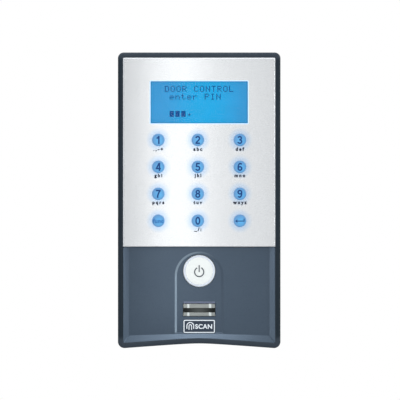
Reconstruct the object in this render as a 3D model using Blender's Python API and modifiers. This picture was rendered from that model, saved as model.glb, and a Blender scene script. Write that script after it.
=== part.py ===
"""Fingerprint scanner terminal: a wall-mounted keypad with a display and a finger swipe sensor.

Frame: +Z up, +X to the right seen from the front, and the front faces -Y. The origin is the
centre of the wall plate's back face, so the terminal fills negative Y. Lengths are in metres;
MM turns millimetres into metres.
"""

import math

import bmesh
import bpy
from mathutils import Matrix, Vector

MM = 0.001
GAP = 0.3 * MM

# Overall body, seen from the front. The bottom edge is an arc, hollowed upwards.
BODY_WIDTH = 95.0 * MM
BODY_TOP = 86.4 * MM
BOTTOM_CREST = -83.7 * MM
BOTTOM_SLOPE = 0.0745
BOTTOM_BEND = 8.0 * MM
TOP_CORNER_RADIUS = 3.4 * MM
BOTTOM_CORNER_RADIUS = 3.8 * MM
SMALLEST_CORNER = 0.5 * MM
CORNER_STEPS = 5
HOLLOW_STEPS = 12

# Depths along Y of the main layers, front to back.
RIM_FRONT = -32.0 * MM
FASCIA_FRONT = -31.2 * MM
FASCIA_BACK = -29.6 * MM
PANEL_RIM = -31.0 * MM
PANEL_FLOOR = -28.7 * MM
CHANNEL_FLOOR = -27.95 * MM
PANEL_BACK = -25.6 * MM
MAIN_BOARD_FRONT = -24.2 * MM
SCANNER_BOARD_FRONT = -23.4 * MM
BOARD_THICKNESS = 1.6 * MM
BACK_WALL_FRONT = -5.0 * MM
BACK_WALL_BACK = -3.0 * MM
HOUSING_REAR_EDGE = -0.4 * MM
PLATE_FRONT = -1.5 * MM

# Front frame.
RIM_WIDTH = 3.0 * MM
LEDGE_WIDTH = 2.0 * MM
FRAME_SKIRT_BACK = -24.0 * MM
TONGUE_BACK = -20.5 * MM
UPPER_LEDGE = -29.3 * MM
LOWER_LEDGE = -27.9 * MM
FRAME_BOSS_RADIUS = 3.0 * MM
FRAME_BOSS_BACK = -12.0 * MM
HOUSING_BOSS_RADIUS = 3.6 * MM
HOUSING_BOSS_X = 40.2 * MM
HOUSING_BOSS_Z = (76.5 * MM, -74.5 * MM)

# Rear housing.
HOUSING_INSET = 0.5 * MM
HOUSING_WALL = 2.2 * MM
HOUSING_FRONT_EDGE = -23.0 * MM

# Silver fascia with the display window and the keys.
SPLIT_Z = -27.1 * MM
FASCIA_EDGE = 0.3 * MM
WINDOW_HALF_WIDTH = 28.5 * MM
WINDOW_Z = (44.95 * MM, 69.65 * MM)
WINDOW_REBATE = 1.5 * MM
KEY_COLUMNS = (-23.9 * MM, -0.8 * MM, 23.8 * MM)
KEY_ROWS = (35.3 * MM, 19.55 * MM, 3.8 * MM, -11.95 * MM)
KEY_NAMES = (
    ("key_1", "key_2", "key_3"),
    ("key_4", "key_5", "key_6"),
    ("key_7", "key_8", "key_9"),
    ("key_func", "key_0", "key_enter"),
)
KEY_RADIUS = 3.6 * MM
KEY_FRONT = -31.7 * MM
KEY_CLEARANCE = 0.25 * MM
KEY_FLANGE_RADIUS = 4.8 * MM
KEY_FLANGE_THICKNESS = 0.8 * MM
KEY_STEPS = 24

# Scanner panel: a tray with sloping sides and an arched finger channel.
TRAY_HALF_WIDTH = 41.1 * MM
TRAY_CREST = -77.9 * MM
TRAY_SLOPE = 0.033
TRAY_RIM_FLAT = 0.1 * MM
CHANNEL_HALF_WIDTH = 13.0 * MM
CHANNEL_WALL_WIDTH = 1.3 * MM
CHANNEL_ARCH_Z = -44.3 * MM
ARCH_STEPS = 20

# Power button.
BUTTON_Z = -41.3 * MM
BUTTON_RADIUS = 9.3 * MM
BUTTON_FRONT = -29.4 * MM
BUTTON_FLANGE_RADIUS = 10.4 * MM
BUTTON_FLANGE = (-25.3 * MM, -24.7 * MM)
BUTTON_STEPS = 40
SWITCH_HALF = 3.0 * MM
SWITCH_FRONT = -25.9 * MM
PLUNGER_RADIUS = 1.75 * MM

# Finger swipe sensor and badge, both in the channel floor.
SENSOR_HALF_WIDTH = 9.2 * MM
SENSOR_UPPER_Z = (-62.95 * MM, -60.6 * MM)
SENSOR_STRIP_Z = (-65.25 * MM, -63.25 * MM)
SENSOR_LOWER_Z = (-67.6 * MM, -65.55 * MM)
SENSOR_RAIL_FRONT = -28.75 * MM
SENSOR_STRIP_FRONT = -28.45 * MM
SENSOR_RAMP_HEIGHT = 1.4 * MM
BADGE_HALF_WIDTH = 9.15 * MM
BADGE_Z = (-77.5 * MM, -69.9 * MM)
BADGE_FRONT = -28.2 * MM
BADGE_THICKNESS = 0.45 * MM

# Boards and what is on them.
MAIN_BOARD_HALF_WIDTH = 36.0 * MM
MAIN_BOARD_Z = (-24.5 * MM, 79.0 * MM)
SCANNER_BOARD_Z = (-77.0 * MM, -29.0 * MM)
MAIN_PILLARS = ((-34.0 * MM, 37.0 * MM), (34.0 * MM, 37.0 * MM), (-34.0 * MM, 4.0 * MM), (34.0 * MM, 4.0 * MM))
SCANNER_PILLARS = ((-30.0 * MM, -74.0 * MM), (30.0 * MM, -74.0 * MM))
PILLAR_RADIUS = 2.5 * MM

# Battery bay: two AA cells side by side, upright, loaded from the back.
CELL_RADIUS = 7.25 * MM
CELL_LENGTH = 50.5 * MM
CELL_X = 7.55 * MM
CELL_Y = -12.75 * MM
CELL_CENTRE_Z = -38.1 * MM
BAY_HALF_WIDTH = 15.4 * MM
BAY_Z = (-68.0 * MM, -8.2 * MM)
BAY_FRONT = -20.3 * MM
BAY_WALL = 1.6 * MM
BAY_FRONT_WALL = 1.2 * MM
DOOR_HINGE_Y = -4.2 * MM
DOOR_HINGE_Z = -9.0 * MM
DOOR_KNUCKLE_RADIUS = 1.2 * MM
DOOR_PIN_RADIUS = 0.7 * MM
DOOR_HALF_WIDTH = 15.1 * MM
CONTACT_THICKNESS = 0.4 * MM
CONTACT_WIDTH = 7.0 * MM

# Wall plate and the screw that locks the housing onto it.
PLATE_HALF_WIDTH = 36.0 * MM
PLATE_Z = (-78.8 * MM, 80.0 * MM)
PLATE_CORNER_RADIUS = 4.0 * MM
PLATE_WINDOW_HALF_WIDTH = 18.0 * MM
PLATE_WINDOW_Z = (-71.5 * MM, -5.0 * MM)
WALL_SLOT_X = 29.0 * MM
WALL_SLOT_Z = (66.0 * MM, -60.0 * MM)
WALL_SLOT_LENGTH = 9.0 * MM
WALL_SLOT_WIDTH = 4.8 * MM
HOOK_X = 25.0 * MM
HOOK_Z = 60.0 * MM
LOCK_SCREW_Y = -7.5 * MM
LOCK_TAB_HALF_WIDTH = 5.0 * MM

COLOURS = {
    "slate_frame": ((0.028, 0.040, 0.055), 0.45, 0.0),
    "slate_panel": ((0.070, 0.098, 0.130), 0.50, 0.0),
    "slate_rear": ((0.030, 0.042, 0.056), 0.60, 0.0),
    "satin_silver": ((0.78, 0.79, 0.80), 0.35, 0.6),
    "clear_window": ((0.75, 0.88, 0.95), 0.05, 0.0),
    "display_blue": ((0.040, 0.38, 0.75), 0.20, 0.0),
    "key_blue": ((0.11, 0.36, 0.72), 0.35, 0.0),
    "button_white": ((0.88, 0.91, 0.92), 0.30, 0.0),
    "sensor_metal": ((0.36, 0.39, 0.36), 0.30, 1.0),
    "sensor_black": ((0.010, 0.012, 0.012), 0.15, 0.0),
    "badge_enamel": ((0.045, 0.065, 0.095), 0.40, 0.0),
    "steel": ((0.55, 0.56, 0.57), 0.35, 1.0),
    "silicone": ((0.62, 0.66, 0.68), 0.70, 0.0),
    "seal_rubber": ((0.012, 0.012, 0.013), 0.80, 0.0),
    "board_green": ((0.010, 0.110, 0.045), 0.45, 0.0),
    "chip_black": ((0.014, 0.014, 0.015), 0.50, 0.0),
    "flex_amber": ((0.42, 0.19, 0.03), 0.35, 0.0),
    "connector_ivory": ((0.70, 0.64, 0.50), 0.50, 0.0),
    "backlight_white": ((0.80, 0.82, 0.84), 0.60, 0.0),
    "cell_jacket": ((0.050, 0.055, 0.065), 0.30, 0.0),
    "lead_red": ((0.50, 0.015, 0.010), 0.50, 0.0),
    "lead_black": ((0.012, 0.012, 0.012), 0.50, 0.0),
}

AXIS_TURNS = {
    "front": Matrix.Rotation(math.radians(90), 4, "X"),
    "back": Matrix.Rotation(math.radians(-90), 4, "X"),
    "up": Matrix.Identity(4),
    "down": Matrix.Rotation(math.radians(180), 4, "X"),
}


# ---- scene, collections and materials ----

def clear_scene():
    for obj in list(bpy.data.objects):
        bpy.data.objects.remove(obj, do_unlink=True)


def new_collection(name):
    collection = bpy.data.collections.new(name)
    bpy.context.scene.collection.children.link(collection)
    return collection


def make_materials():
    materials = {}
    for name, (colour, roughness, metallic) in COLOURS.items():
        material = bpy.data.materials.new(name)
        material.use_nodes = True
        shader = material.node_tree.nodes["Principled BSDF"]
        shader.inputs["Base Color"].default_value = (*colour, 1.0)
        shader.inputs["Roughness"].default_value = roughness
        shader.inputs["Metallic"].default_value = metallic
        materials[name] = material
    return materials


# ---- outlines, as lists of (x, z) points that run anticlockwise seen from the front ----

def arc(centre, radius, start_deg, end_deg, steps):
    points = []
    for i in range(steps + 1):
        angle = math.radians(start_deg + (end_deg - start_deg) * i / steps)
        points.append((centre[0] + radius * math.cos(angle), centre[1] + radius * math.sin(angle)))
    return points


def rounded_rectangle(x, z, radius):
    return (
        arc((x[1] - radius, z[1] - radius), radius, 0, 90, CORNER_STEPS)
        + arc((x[0] + radius, z[1] - radius), radius, 90, 180, CORNER_STEPS)
        + arc((x[0] + radius, z[0] + radius), radius, 180, 270, CORNER_STEPS)
        + arc((x[1] - radius, z[0] + radius), radius, 270, 360, CORNER_STEPS)
    )


def hollow_bottomed(half_width, top, crest, slope, top_corner, bottom_corner):
    """A rounded rectangle whose bottom edge falls to both sides of a rounded crest."""
    corner_x = half_width - bottom_corner
    lean = math.degrees(math.atan(slope * corner_x / math.hypot(corner_x, BOTTOM_BEND)))
    meet_x = corner_x - bottom_corner * math.sin(math.radians(lean))

    def hollow(x):
        return crest - slope * (math.hypot(x, BOTTOM_BEND) - BOTTOM_BEND)

    corner_z = hollow(meet_x) + bottom_corner * math.cos(math.radians(lean))
    steps = [meet_x * (2 * i / HOLLOW_STEPS - 1) for i in range(1, HOLLOW_STEPS)]
    return (
        arc((half_width - top_corner, top - top_corner), top_corner, 0, 90, CORNER_STEPS)
        + arc((top_corner - half_width, top - top_corner), top_corner, 90, 180, CORNER_STEPS)
        + arc((-corner_x, corner_z), bottom_corner, 180, 270 + lean, CORNER_STEPS)
        + [(x, hollow(x)) for x in steps]
        + arc((corner_x, corner_z), bottom_corner, 270 - lean, 360, CORNER_STEPS)
    )


def body_outline(inset, top=None):
    """The body's outline moved inwards by inset, with its top edge moved down to top if given."""
    return hollow_bottomed(
        BODY_WIDTH / 2 - inset,
        BODY_TOP - inset if top is None else top,
        BOTTOM_CREST + inset,
        BOTTOM_SLOPE,
        max(TOP_CORNER_RADIUS - inset, SMALLEST_CORNER),
        max(BOTTOM_CORNER_RADIUS - inset, SMALLEST_CORNER),
    )


def arch(half_width, bottom):
    points = arc((0.0, CHANNEL_ARCH_Z), half_width, 0, 180, ARCH_STEPS)
    return points + [(-half_width, bottom), (half_width, bottom)]


def strip_outline(centreline, thickness):
    """A thin strip along an open line of points, with mitred bends."""
    half = thickness / 2
    normals = []
    for start, end in zip(centreline, centreline[1:]):
        along = Vector(end) - Vector(start)
        normals.append(Vector((-along.y, along.x)).normalized())
    left, right = [], []
    for i, point in enumerate(centreline):
        before = normals[max(i - 1, 0)]
        after = normals[min(i, len(normals) - 1)]
        mitre = (before + after) / (1 + before.dot(after))
        left.append(tuple(Vector(point) + mitre * half))
        right.append(tuple(Vector(point) - mitre * half))
    return right + left[::-1]


# ---- solids ----

def add_object(name, bm, collection, origin=(0.0, 0.0, 0.0)):
    bmesh.ops.recalc_face_normals(bm, faces=bm.faces)
    bmesh.ops.translate(bm, verts=bm.verts, vec=-Vector(origin))
    mesh = bpy.data.meshes.new(name)
    bm.to_mesh(mesh)
    bm.free()
    obj = bpy.data.objects.new(name, mesh)
    obj.location = origin
    collection.objects.link(obj)
    return obj


def add_block(bm, x, y, z):
    size = Vector((x[1] - x[0], y[1] - y[0], z[1] - z[0]))
    centre = Vector((x[0] + x[1], y[0] + y[1], z[0] + z[1])) / 2
    bmesh.ops.create_cube(bm, size=1.0, matrix=Matrix.Translation(centre) @ Matrix.Diagonal((*size, 1.0)))


def add_round(bm, centre, y, front_radius, back_radius=None, steps=24):
    """A cylinder or cone about a line along Y through centre (x, z)."""
    place = Matrix.Translation((centre[0], (y[0] + y[1]) / 2, centre[1])) @ AXIS_TURNS["back"]
    bmesh.ops.create_cone(
        bm,
        cap_ends=True,
        segments=steps,
        radius1=front_radius,
        radius2=front_radius if back_radius is None else back_radius,
        depth=y[1] - y[0],
        matrix=place,
    )


def add_loft(bm, sections, closed_ring=False):
    """Join outlines, each a (list of (x, z), y), in order. A closed ring has no end caps."""
    layers = [[bm.verts.new((x, y, z)) for x, z in outline] for outline, y in sections]
    pairs = list(zip(layers, layers[1:]))
    if closed_ring:
        pairs.append((layers[-1], layers[0]))
    else:
        bm.faces.new(layers[0])
        bm.faces.new(layers[-1])
    for near, far in pairs:
        for i in range(len(near)):
            j = (i + 1) % len(near)
            bm.faces.new((near[i], near[j], far[j], far[i]))


def block(name, x, y, z, collection, bevel=0.0):
    bm = bmesh.new()
    add_block(bm, x, y, z)
    obj = add_object(name, bm, collection)
    if bevel:
        modifier = obj.modifiers.new("edges", "BEVEL")
        modifier.width = bevel
        modifier.segments = 1
    return obj


def lofted(name, sections, collection, closed_ring=False):
    bm = bmesh.new()
    add_loft(bm, sections, closed_ring)
    return add_object(name, bm, collection)


def extruded(name, outline, thickness, matrix, collection):
    """A flat outline given thickness, half each side of the plane that matrix places it in."""
    curve = bpy.data.curves.new(name + "_outline", "CURVE")
    curve.dimensions = "2D"
    curve.fill_mode = "BOTH"
    curve.extrude = thickness / 2
    spline = curve.splines.new("POLY")
    spline.points.add(len(outline) - 1)
    for point, (u, v) in zip(spline.points, outline):
        point.co = (u, v, 0.0, 1.0)
    spline.use_cyclic_u = True
    drawn = bpy.data.objects.new(name + "_outline", curve)
    collection.objects.link(drawn)
    bpy.context.view_layer.update()
    evaluated = drawn.evaluated_get(bpy.context.evaluated_depsgraph_get())
    bm = bmesh.new()
    bm.from_mesh(bpy.data.meshes.new_from_object(evaluated))
    bmesh.ops.remove_doubles(bm, verts=bm.verts, dist=1e-6)
    bmesh.ops.transform(bm, matrix=matrix, verts=bm.verts)
    bpy.data.objects.remove(drawn, do_unlink=True)
    return add_object(name, bm, collection)


def facing_front(y):
    """Places an (x, z) outline upright at depth y."""
    return Matrix.Translation((0.0, y, 0.0)) @ AXIS_TURNS["front"]


def facing_side(x):
    """Places a (y, z) outline upright at x."""
    turn = Matrix.Rotation(math.radians(90), 4, "Z") @ Matrix.Rotation(math.radians(90), 4, "X")
    return Matrix.Translation((x, 0.0, 0.0)) @ turn


def turned(name, profile, centre, facing, steps, collection):
    """A turned piece: profile is (radius, height) from the top of its axis round to the bottom."""
    bm = bmesh.new()
    verts = [bm.verts.new((radius, 0.0, height)) for radius, height in profile]
    for start, end in zip(verts, verts[1:]):
        bm.edges.new((start, end))
    mesh = bpy.data.meshes.new(name)
    bm.to_mesh(mesh)
    bm.free()
    obj = bpy.data.objects.new(name, mesh)
    obj.matrix_world = Matrix.Translation(centre) @ AXIS_TURNS[facing]
    collection.objects.link(obj)
    screw = obj.modifiers.new("turn", "SCREW")
    screw.axis = "Z"
    screw.angle = math.radians(360)
    screw.steps = steps
    screw.render_steps = steps
    screw.use_merge_vertices = True
    screw.merge_threshold = 1e-6
    screw.use_smooth_shade = True
    return obj


def boolean(target, operation, tool):
    modifier = target.modifiers.new(f"{operation.lower()}_{tool.name}", "BOOLEAN")
    modifier.operation = operation
    modifier.solver = "EXACT"
    modifier.object = tool
    tool.hide_render = True
    tool.display_type = "WIRE"


def cutter(name, adders, cutters):
    """One tool object made of separate solids; each adder draws one of them."""
    bm = bmesh.new()
    for add in adders:
        add(bm)
    return add_object(name, bm, cutters)


def shade_round(obj):
    obj.data.shade_smooth()
    obj.data.set_sharp_from_angle(angle=math.radians(35))


# ---- front of the terminal ----

def make_front_frame(parts, cutters):
    """Rim with rounded edges, a ledge for the front pieces and a tongue that enters the housing."""
    inner = RIM_WIDTH
    ledge = RIM_WIDTH + LEDGE_WIDTH
    profile = (
        (0.0, FRAME_SKIRT_BACK),
        (0.0, RIM_FRONT + 1.6 * MM),
        (0.35 * MM, RIM_FRONT + 0.6 * MM),
        (1.1 * MM, RIM_FRONT),
        (1.9 * MM, RIM_FRONT),
        (2.65 * MM, RIM_FRONT + 0.5 * MM),
        (inner, RIM_FRONT + 1.2 * MM),
        (inner, UPPER_LEDGE),
        (ledge, UPPER_LEDGE),
        (ledge, TONGUE_BACK),
        (inner, TONGUE_BACK),
        (inner, FRAME_SKIRT_BACK),
    )
    sections = [(body_outline(inset), y) for inset, y in profile]
    frame = lofted("front_frame", sections, parts, closed_ring=True)

    lowered = body_outline(inner - 0.1 * MM, top=SPLIT_Z - 0.1 * MM)
    lower_ledge = lofted(
        "lower_ledge_cutter", [(lowered, UPPER_LEDGE - GAP), (lowered, LOWER_LEDGE)], cutters
    )
    boolean(frame, "DIFFERENCE", lower_ledge)

    places = [(side * HOUSING_BOSS_X, z) for side in (-1, 1) for z in HOUSING_BOSS_Z]
    boss_y = (PANEL_BACK + GAP, FRAME_BOSS_BACK)
    pilot_y = (PANEL_BACK + 2.0 * MM, FRAME_BOSS_BACK + 1.0 * MM)
    bosses = cutter(
        "frame_bosses",
        [lambda bm, c=c: add_round(bm, c, boss_y, FRAME_BOSS_RADIUS, steps=20) for c in places],
        cutters,
    )
    pilots = cutter(
        "frame_boss_holes",
        [lambda bm, c=c: add_round(bm, c, pilot_y, 1.5 * MM, steps=12) for c in places],
        cutters,
    )
    boolean(frame, "UNION", bosses)
    boolean(frame, "DIFFERENCE", pilots)
    shade_round(frame)
    return frame


def make_fascia(parts, cutters):
    side = BODY_WIDTH / 2 - RIM_WIDTH - GAP
    top = BODY_TOP - RIM_WIDTH - GAP

    def at(inset):
        return rounded_rectangle(
            (inset - side, side - inset), (SPLIT_Z + inset, top - inset), SMALLEST_CORNER
        )

    sections = [(at(0.0), FASCIA_BACK), (at(0.0), FASCIA_FRONT + FASCIA_EDGE), (at(FASCIA_EDGE), FASCIA_FRONT)]
    fascia = lofted("keypad_fascia", sections, parts)
    beyond = 1.0 * MM
    middle = (FASCIA_FRONT + FASCIA_BACK) / 2
    half = WINDOW_HALF_WIDTH
    wide = half + WINDOW_REBATE
    tall = (WINDOW_Z[0] - WINDOW_REBATE, WINDOW_Z[1] + WINDOW_REBATE)
    window = block(
        "window_cutter", (-half, half), (FASCIA_FRONT - beyond, FASCIA_BACK + beyond), WINDOW_Z, cutters
    )
    rebate = block("window_rebate_cutter", (-wide, wide), (middle, FASCIA_BACK + beyond), tall, cutters)
    hole_y = (FASCIA_FRONT - beyond, FASCIA_BACK + beyond)
    hole_radius = KEY_RADIUS + KEY_CLEARANCE
    holes = cutter(
        "key_hole_cutter",
        [
            lambda bm, c=(x, z): add_round(bm, c, hole_y, hole_radius, steps=KEY_STEPS)
            for x in KEY_COLUMNS
            for z in KEY_ROWS
        ],
        cutters,
    )
    boolean(fascia, "DIFFERENCE", window)
    boolean(fascia, "DIFFERENCE", rebate)
    boolean(fascia, "DIFFERENCE", holes)
    shade_round(fascia)
    return fascia


def make_display(parts, cutters):
    """The clear pane, and behind it a metal-framed liquid crystal module."""
    middle = (FASCIA_FRONT + FASCIA_BACK) / 2

    def pane(inset):
        half = WINDOW_HALF_WIDTH + WINDOW_REBATE - GAP - inset
        low = WINDOW_Z[0] - WINDOW_REBATE + GAP + inset
        high = WINDOW_Z[1] + WINDOW_REBATE - GAP - inset
        return [(half, low), (half, high), (-half, high), (-half, low)]

    flange_front = middle + GAP
    window = lofted(
        "display_window",
        [
            (pane(0.0), FASCIA_BACK),
            (pane(0.0), flange_front),
            (pane(WINDOW_REBATE), flange_front),
            (pane(WINDOW_REBATE), FASCIA_FRONT + 0.1 * MM),
        ],
        parts,
    )

    bezel = block(
        "display_bezel", (-33.0 * MM, 33.0 * MM), (-29.3 * MM, -25.0 * MM), (40.5 * MM, 74.2 * MM), parts
    )
    inside = block(
        "bezel_inside_cutter",
        (-32.4 * MM, 32.4 * MM),
        (-28.7 * MM, -24.0 * MM),
        (41.1 * MM, 73.6 * MM),
        cutters,
    )
    view = block(
        "bezel_view_cutter",
        (-29.3 * MM, 29.3 * MM),
        (-30.0 * MM, -28.0 * MM),
        (43.9 * MM, 70.8 * MM),
        cutters,
    )
    boolean(bezel, "DIFFERENCE", inside)
    boolean(bezel, "DIFFERENCE", view)
    glass = block(
        "display_glass", (-32.0 * MM, 32.0 * MM), (-28.4 * MM, -27.2 * MM), (41.5 * MM, 73.2 * MM), parts
    )
    backlight = block(
        "display_backlight",
        (-32.0 * MM, 32.0 * MM),
        (-26.9 * MM, -25.3 * MM),
        (41.5 * MM, 71.6 * MM),
        parts,
        bevel=0.2 * MM,
    )
    route = (
        (-26.7 * MM, 72.4 * MM),
        (-25.6 * MM, 72.6 * MM),
        (-24.8 * MM, 73.3 * MM),
        (-24.7 * MM, 74.4 * MM),
        (-24.8 * MM, 75.4 * MM),
    )
    ribbon = extruded(
        "display_ribbon", strip_outline(route, 0.15 * MM), 20.0 * MM, facing_side(0.0), parts
    )
    socket = block(
        "display_socket",
        (-11.0 * MM, 11.0 * MM),
        (-25.7 * MM, MAIN_BOARD_FRONT - GAP),
        (75.8 * MM, 78.3 * MM),
        parts,
        bevel=0.15 * MM,
    )
    return {
        "clear_window": [window],
        "steel": [bezel],
        "display_blue": [glass],
        "backlight_white": [backlight],
        "flex_amber": [ribbon],
        "connector_ivory": [socket],
    }


def make_key(name, x, z, parts):
    flange_front = -(FASCIA_BACK + GAP)
    front = -KEY_FRONT
    profile = (
        (0.0, front - 0.05 * MM),
        (KEY_RADIUS - 0.5 * MM, front),
        (KEY_RADIUS, front - 0.35 * MM),
        (KEY_RADIUS, flange_front),
        (KEY_FLANGE_RADIUS, flange_front),
        (KEY_FLANGE_RADIUS, flange_front - KEY_FLANGE_THICKNESS),
        (0.0, flange_front - KEY_FLANGE_THICKNESS),
    )
    return turned(name, profile, (x, 0.0, z), "front", KEY_STEPS, parts)


def make_keypad_mat(parts, cutters):
    """A silicone sheet with a hollow dome behind each key."""
    sheet_back = MAIN_BOARD_FRONT - GAP
    sheet_front = sheet_back - 0.8 * MM
    dome_front = FASCIA_BACK + GAP + KEY_FLANGE_THICKNESS + GAP
    sheet = block(
        "keypad_mat", (-30.5 * MM, 30.5 * MM), (sheet_front, sheet_back), (-18.5 * MM, 39.8 * MM), parts
    )
    centres = [(x, z) for x in KEY_COLUMNS for z in KEY_ROWS]
    dome_y = (dome_front, sheet_back - 0.3 * MM)
    hollow_y = (dome_front + 0.8 * MM, sheet_back + 0.5 * MM)
    domes = cutter(
        "mat_domes",
        [lambda bm, c=c: add_round(bm, c, dome_y, 2.6 * MM, 4.4 * MM, steps=16) for c in centres],
        cutters,
    )
    hollows = cutter(
        "mat_hollows",
        [lambda bm, c=c: add_round(bm, c, hollow_y, 1.6 * MM, 3.6 * MM, steps=16) for c in centres],
        cutters,
    )
    boolean(sheet, "UNION", domes)
    boolean(sheet, "DIFFERENCE", hollows)
    return sheet


def make_scanner_panel(parts, cutters):
    edge = RIM_WIDTH + GAP
    top = SPLIT_Z - GAP
    step = 2.3 * MM
    panel = lofted(
        "scanner_panel",
        [
            (body_outline(edge + step, top - step), PANEL_BACK),
            (body_outline(edge + step, top - step), LOWER_LEDGE - GAP),
            (body_outline(edge, top), LOWER_LEDGE - GAP),
            (body_outline(edge, top), PANEL_RIM),
        ],
        parts,
    )

    rim_half = BODY_WIDTH / 2 - edge - TRAY_RIM_FLAT
    rim_crest = BOTTOM_CREST + edge + TRAY_RIM_FLAT

    def tray(share):
        """The tray's outline between its floor (share 0) and its rim (share 1)."""
        outline = hollow_bottomed(
            TRAY_HALF_WIDTH + (rim_half - TRAY_HALF_WIDTH) * share,
            SPLIT_Z + 4.0 * MM,
            TRAY_CREST + (rim_crest - TRAY_CREST) * share,
            TRAY_SLOPE + (BOTTOM_SLOPE - TRAY_SLOPE) * share,
            SMALLEST_CORNER,
            SMALLEST_CORNER,
        )
        return outline, PANEL_FLOOR + (PANEL_RIM - PANEL_FLOOR) * share

    boolean(panel, "DIFFERENCE", lofted("tray_cutter", [tray(0.0), tray(1.0), tray(1.2)], cutters))

    def channel(share):
        """The channel's outline between its own floor (share 0) and the tray's floor (share 1)."""
        half = CHANNEL_HALF_WIDTH + CHANNEL_WALL_WIDTH * share
        bottom = TRAY_CREST + 0.7 * MM * (1 - share)
        return arch(half, bottom), CHANNEL_FLOOR + (PANEL_FLOOR - CHANNEL_FLOOR) * share

    boolean(panel, "DIFFERENCE", lofted("channel_cutter", [channel(0.0), channel(1.25)], cutters))

    ramp_foot = SENSOR_UPPER_Z[1] + GAP
    ramp = extruded(
        "sensor_ramp",
        [
            (CHANNEL_FLOOR + 0.5 * MM, ramp_foot + SENSOR_RAMP_HEIGHT),
            (CHANNEL_FLOOR + 0.5 * MM, ramp_foot - 0.5 * MM),
            (SENSOR_RAIL_FRONT + 0.1 * MM, ramp_foot - 0.5 * MM),
            (SENSOR_RAIL_FRONT + 0.1 * MM, ramp_foot),
            (CHANNEL_FLOOR, ramp_foot + SENSOR_RAMP_HEIGHT),
        ],
        2 * SENSOR_HALF_WIDTH,
        facing_side(0.0),
        cutters,
    )
    boolean(panel, "UNION", ramp)

    through = (CHANNEL_FLOOR - 3.0 * MM, PANEL_BACK + 1.0 * MM)
    button_hole = cutter(
        "button_hole_cutter",
        [lambda bm: add_round(bm, (0.0, BUTTON_Z), through, BUTTON_RADIUS + GAP, steps=BUTTON_STEPS)],
        cutters,
    )
    sensor_half = SENSOR_HALF_WIDTH + GAP
    sensor_hole = block(
        "sensor_hole_cutter",
        (-sensor_half, sensor_half),
        through,
        (SENSOR_LOWER_Z[0] - GAP, SENSOR_UPPER_Z[1] + GAP),
        cutters,
    )
    badge_half = BADGE_HALF_WIDTH + GAP
    badge_seat = block(
        "badge_seat_cutter",
        (-badge_half, badge_half),
        (CHANNEL_FLOOR - 3.0 * MM, BADGE_FRONT + BADGE_THICKNESS + GAP),
        (BADGE_Z[0] - GAP, BADGE_Z[1] + GAP),
        cutters,
    )
    boolean(panel, "DIFFERENCE", button_hole)
    boolean(panel, "DIFFERENCE", sensor_hole)
    boolean(panel, "DIFFERENCE", badge_seat)
    shade_round(panel)
    return panel


def make_button(parts, cutters):
    """The power button's hollow cap, the switch behind it and the switch's plunger."""
    front = -BUTTON_FRONT
    flange_front, flange_back = (-y for y in BUTTON_FLANGE)
    rib_end = 27.0 * MM
    profile = (
        (0.0, front),
        (BUTTON_RADIUS - 1.3 * MM, front),
        (BUTTON_RADIUS - 0.4 * MM, front - 0.25 * MM),
        (BUTTON_RADIUS, front - 0.8 * MM),
        (BUTTON_RADIUS, flange_front),
        (BUTTON_FLANGE_RADIUS, flange_front),
        (BUTTON_FLANGE_RADIUS, flange_back),
        (BUTTON_RADIUS - 1.7 * MM, flange_back),
        (BUTTON_RADIUS - 1.7 * MM, front - 1.4 * MM),
        (2.0 * MM, front - 1.4 * MM),
        (2.0 * MM, rib_end),
        (0.0, rib_end),
    )
    cap = turned("on_button_cap", profile, (0.0, 0.0, BUTTON_Z), "front", BUTTON_STEPS, parts)
    plunger_front = rib_end - GAP
    plunger_profile = (
        (0.0, plunger_front),
        (PLUNGER_RADIUS, plunger_front),
        (PLUNGER_RADIUS, plunger_front - 1.4 * MM),
        (0.0, plunger_front - 1.4 * MM),
    )
    plunger = turned("on_button_plunger", plunger_profile, (0.0, 0.0, BUTTON_Z), "front", 20, parts)
    switch = block(
        "on_button_switch",
        (-SWITCH_HALF, SWITCH_HALF),
        (SWITCH_FRONT, SCANNER_BOARD_FRONT - GAP),
        (BUTTON_Z - SWITCH_HALF, BUTTON_Z + SWITCH_HALF),
        parts,
    )
    bore_y = (SWITCH_FRONT - 1.0 * MM, SCANNER_BOARD_FRONT - GAP - 0.4 * MM)
    bore = cutter(
        "switch_bore_cutter",
        [lambda bm: add_round(bm, (0.0, BUTTON_Z), bore_y, PLUNGER_RADIUS + GAP, steps=20)],
        cutters,
    )
    boolean(switch, "DIFFERENCE", bore)
    return {"button_white": [cap], "sensor_black": [plunger], "chip_black": [switch]}


def make_sensor(parts):
    """Two metal rails and the sensing strip between them, on a carrier behind the panel."""
    across = (-SENSOR_HALF_WIDTH, SENSOR_HALF_WIDTH)
    rails = [
        block(name, across, (SENSOR_RAIL_FRONT, PANEL_BACK), z, parts, bevel=0.3 * MM)
        for name, z in (("sensor_rail_upper", SENSOR_UPPER_Z), ("sensor_rail_lower", SENSOR_LOWER_Z))
    ]
    strip = block(
        "sensor_strip", across, (SENSOR_STRIP_FRONT, PANEL_BACK), SENSOR_STRIP_Z, parts, bevel=0.2 * MM
    )
    carrier = block(
        "sensor_carrier",
        (-11.5 * MM, 11.5 * MM),
        (PANEL_BACK + GAP, SCANNER_BOARD_FRONT - GAP),
        (-70.5 * MM, -57.5 * MM),
        parts,
        bevel=0.4 * MM,
    )
    return {"sensor_metal": rails, "sensor_black": [strip], "connector_ivory": [carrier]}


def make_badge(parts):
    outline = rounded_rectangle((-BADGE_HALF_WIDTH, BADGE_HALF_WIDTH), BADGE_Z, 0.8 * MM)
    middle = BADGE_FRONT + BADGE_THICKNESS / 2
    return extruded("badge_plate", outline, BADGE_THICKNESS, facing_front(middle), parts)


# ---- boards ----

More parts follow.
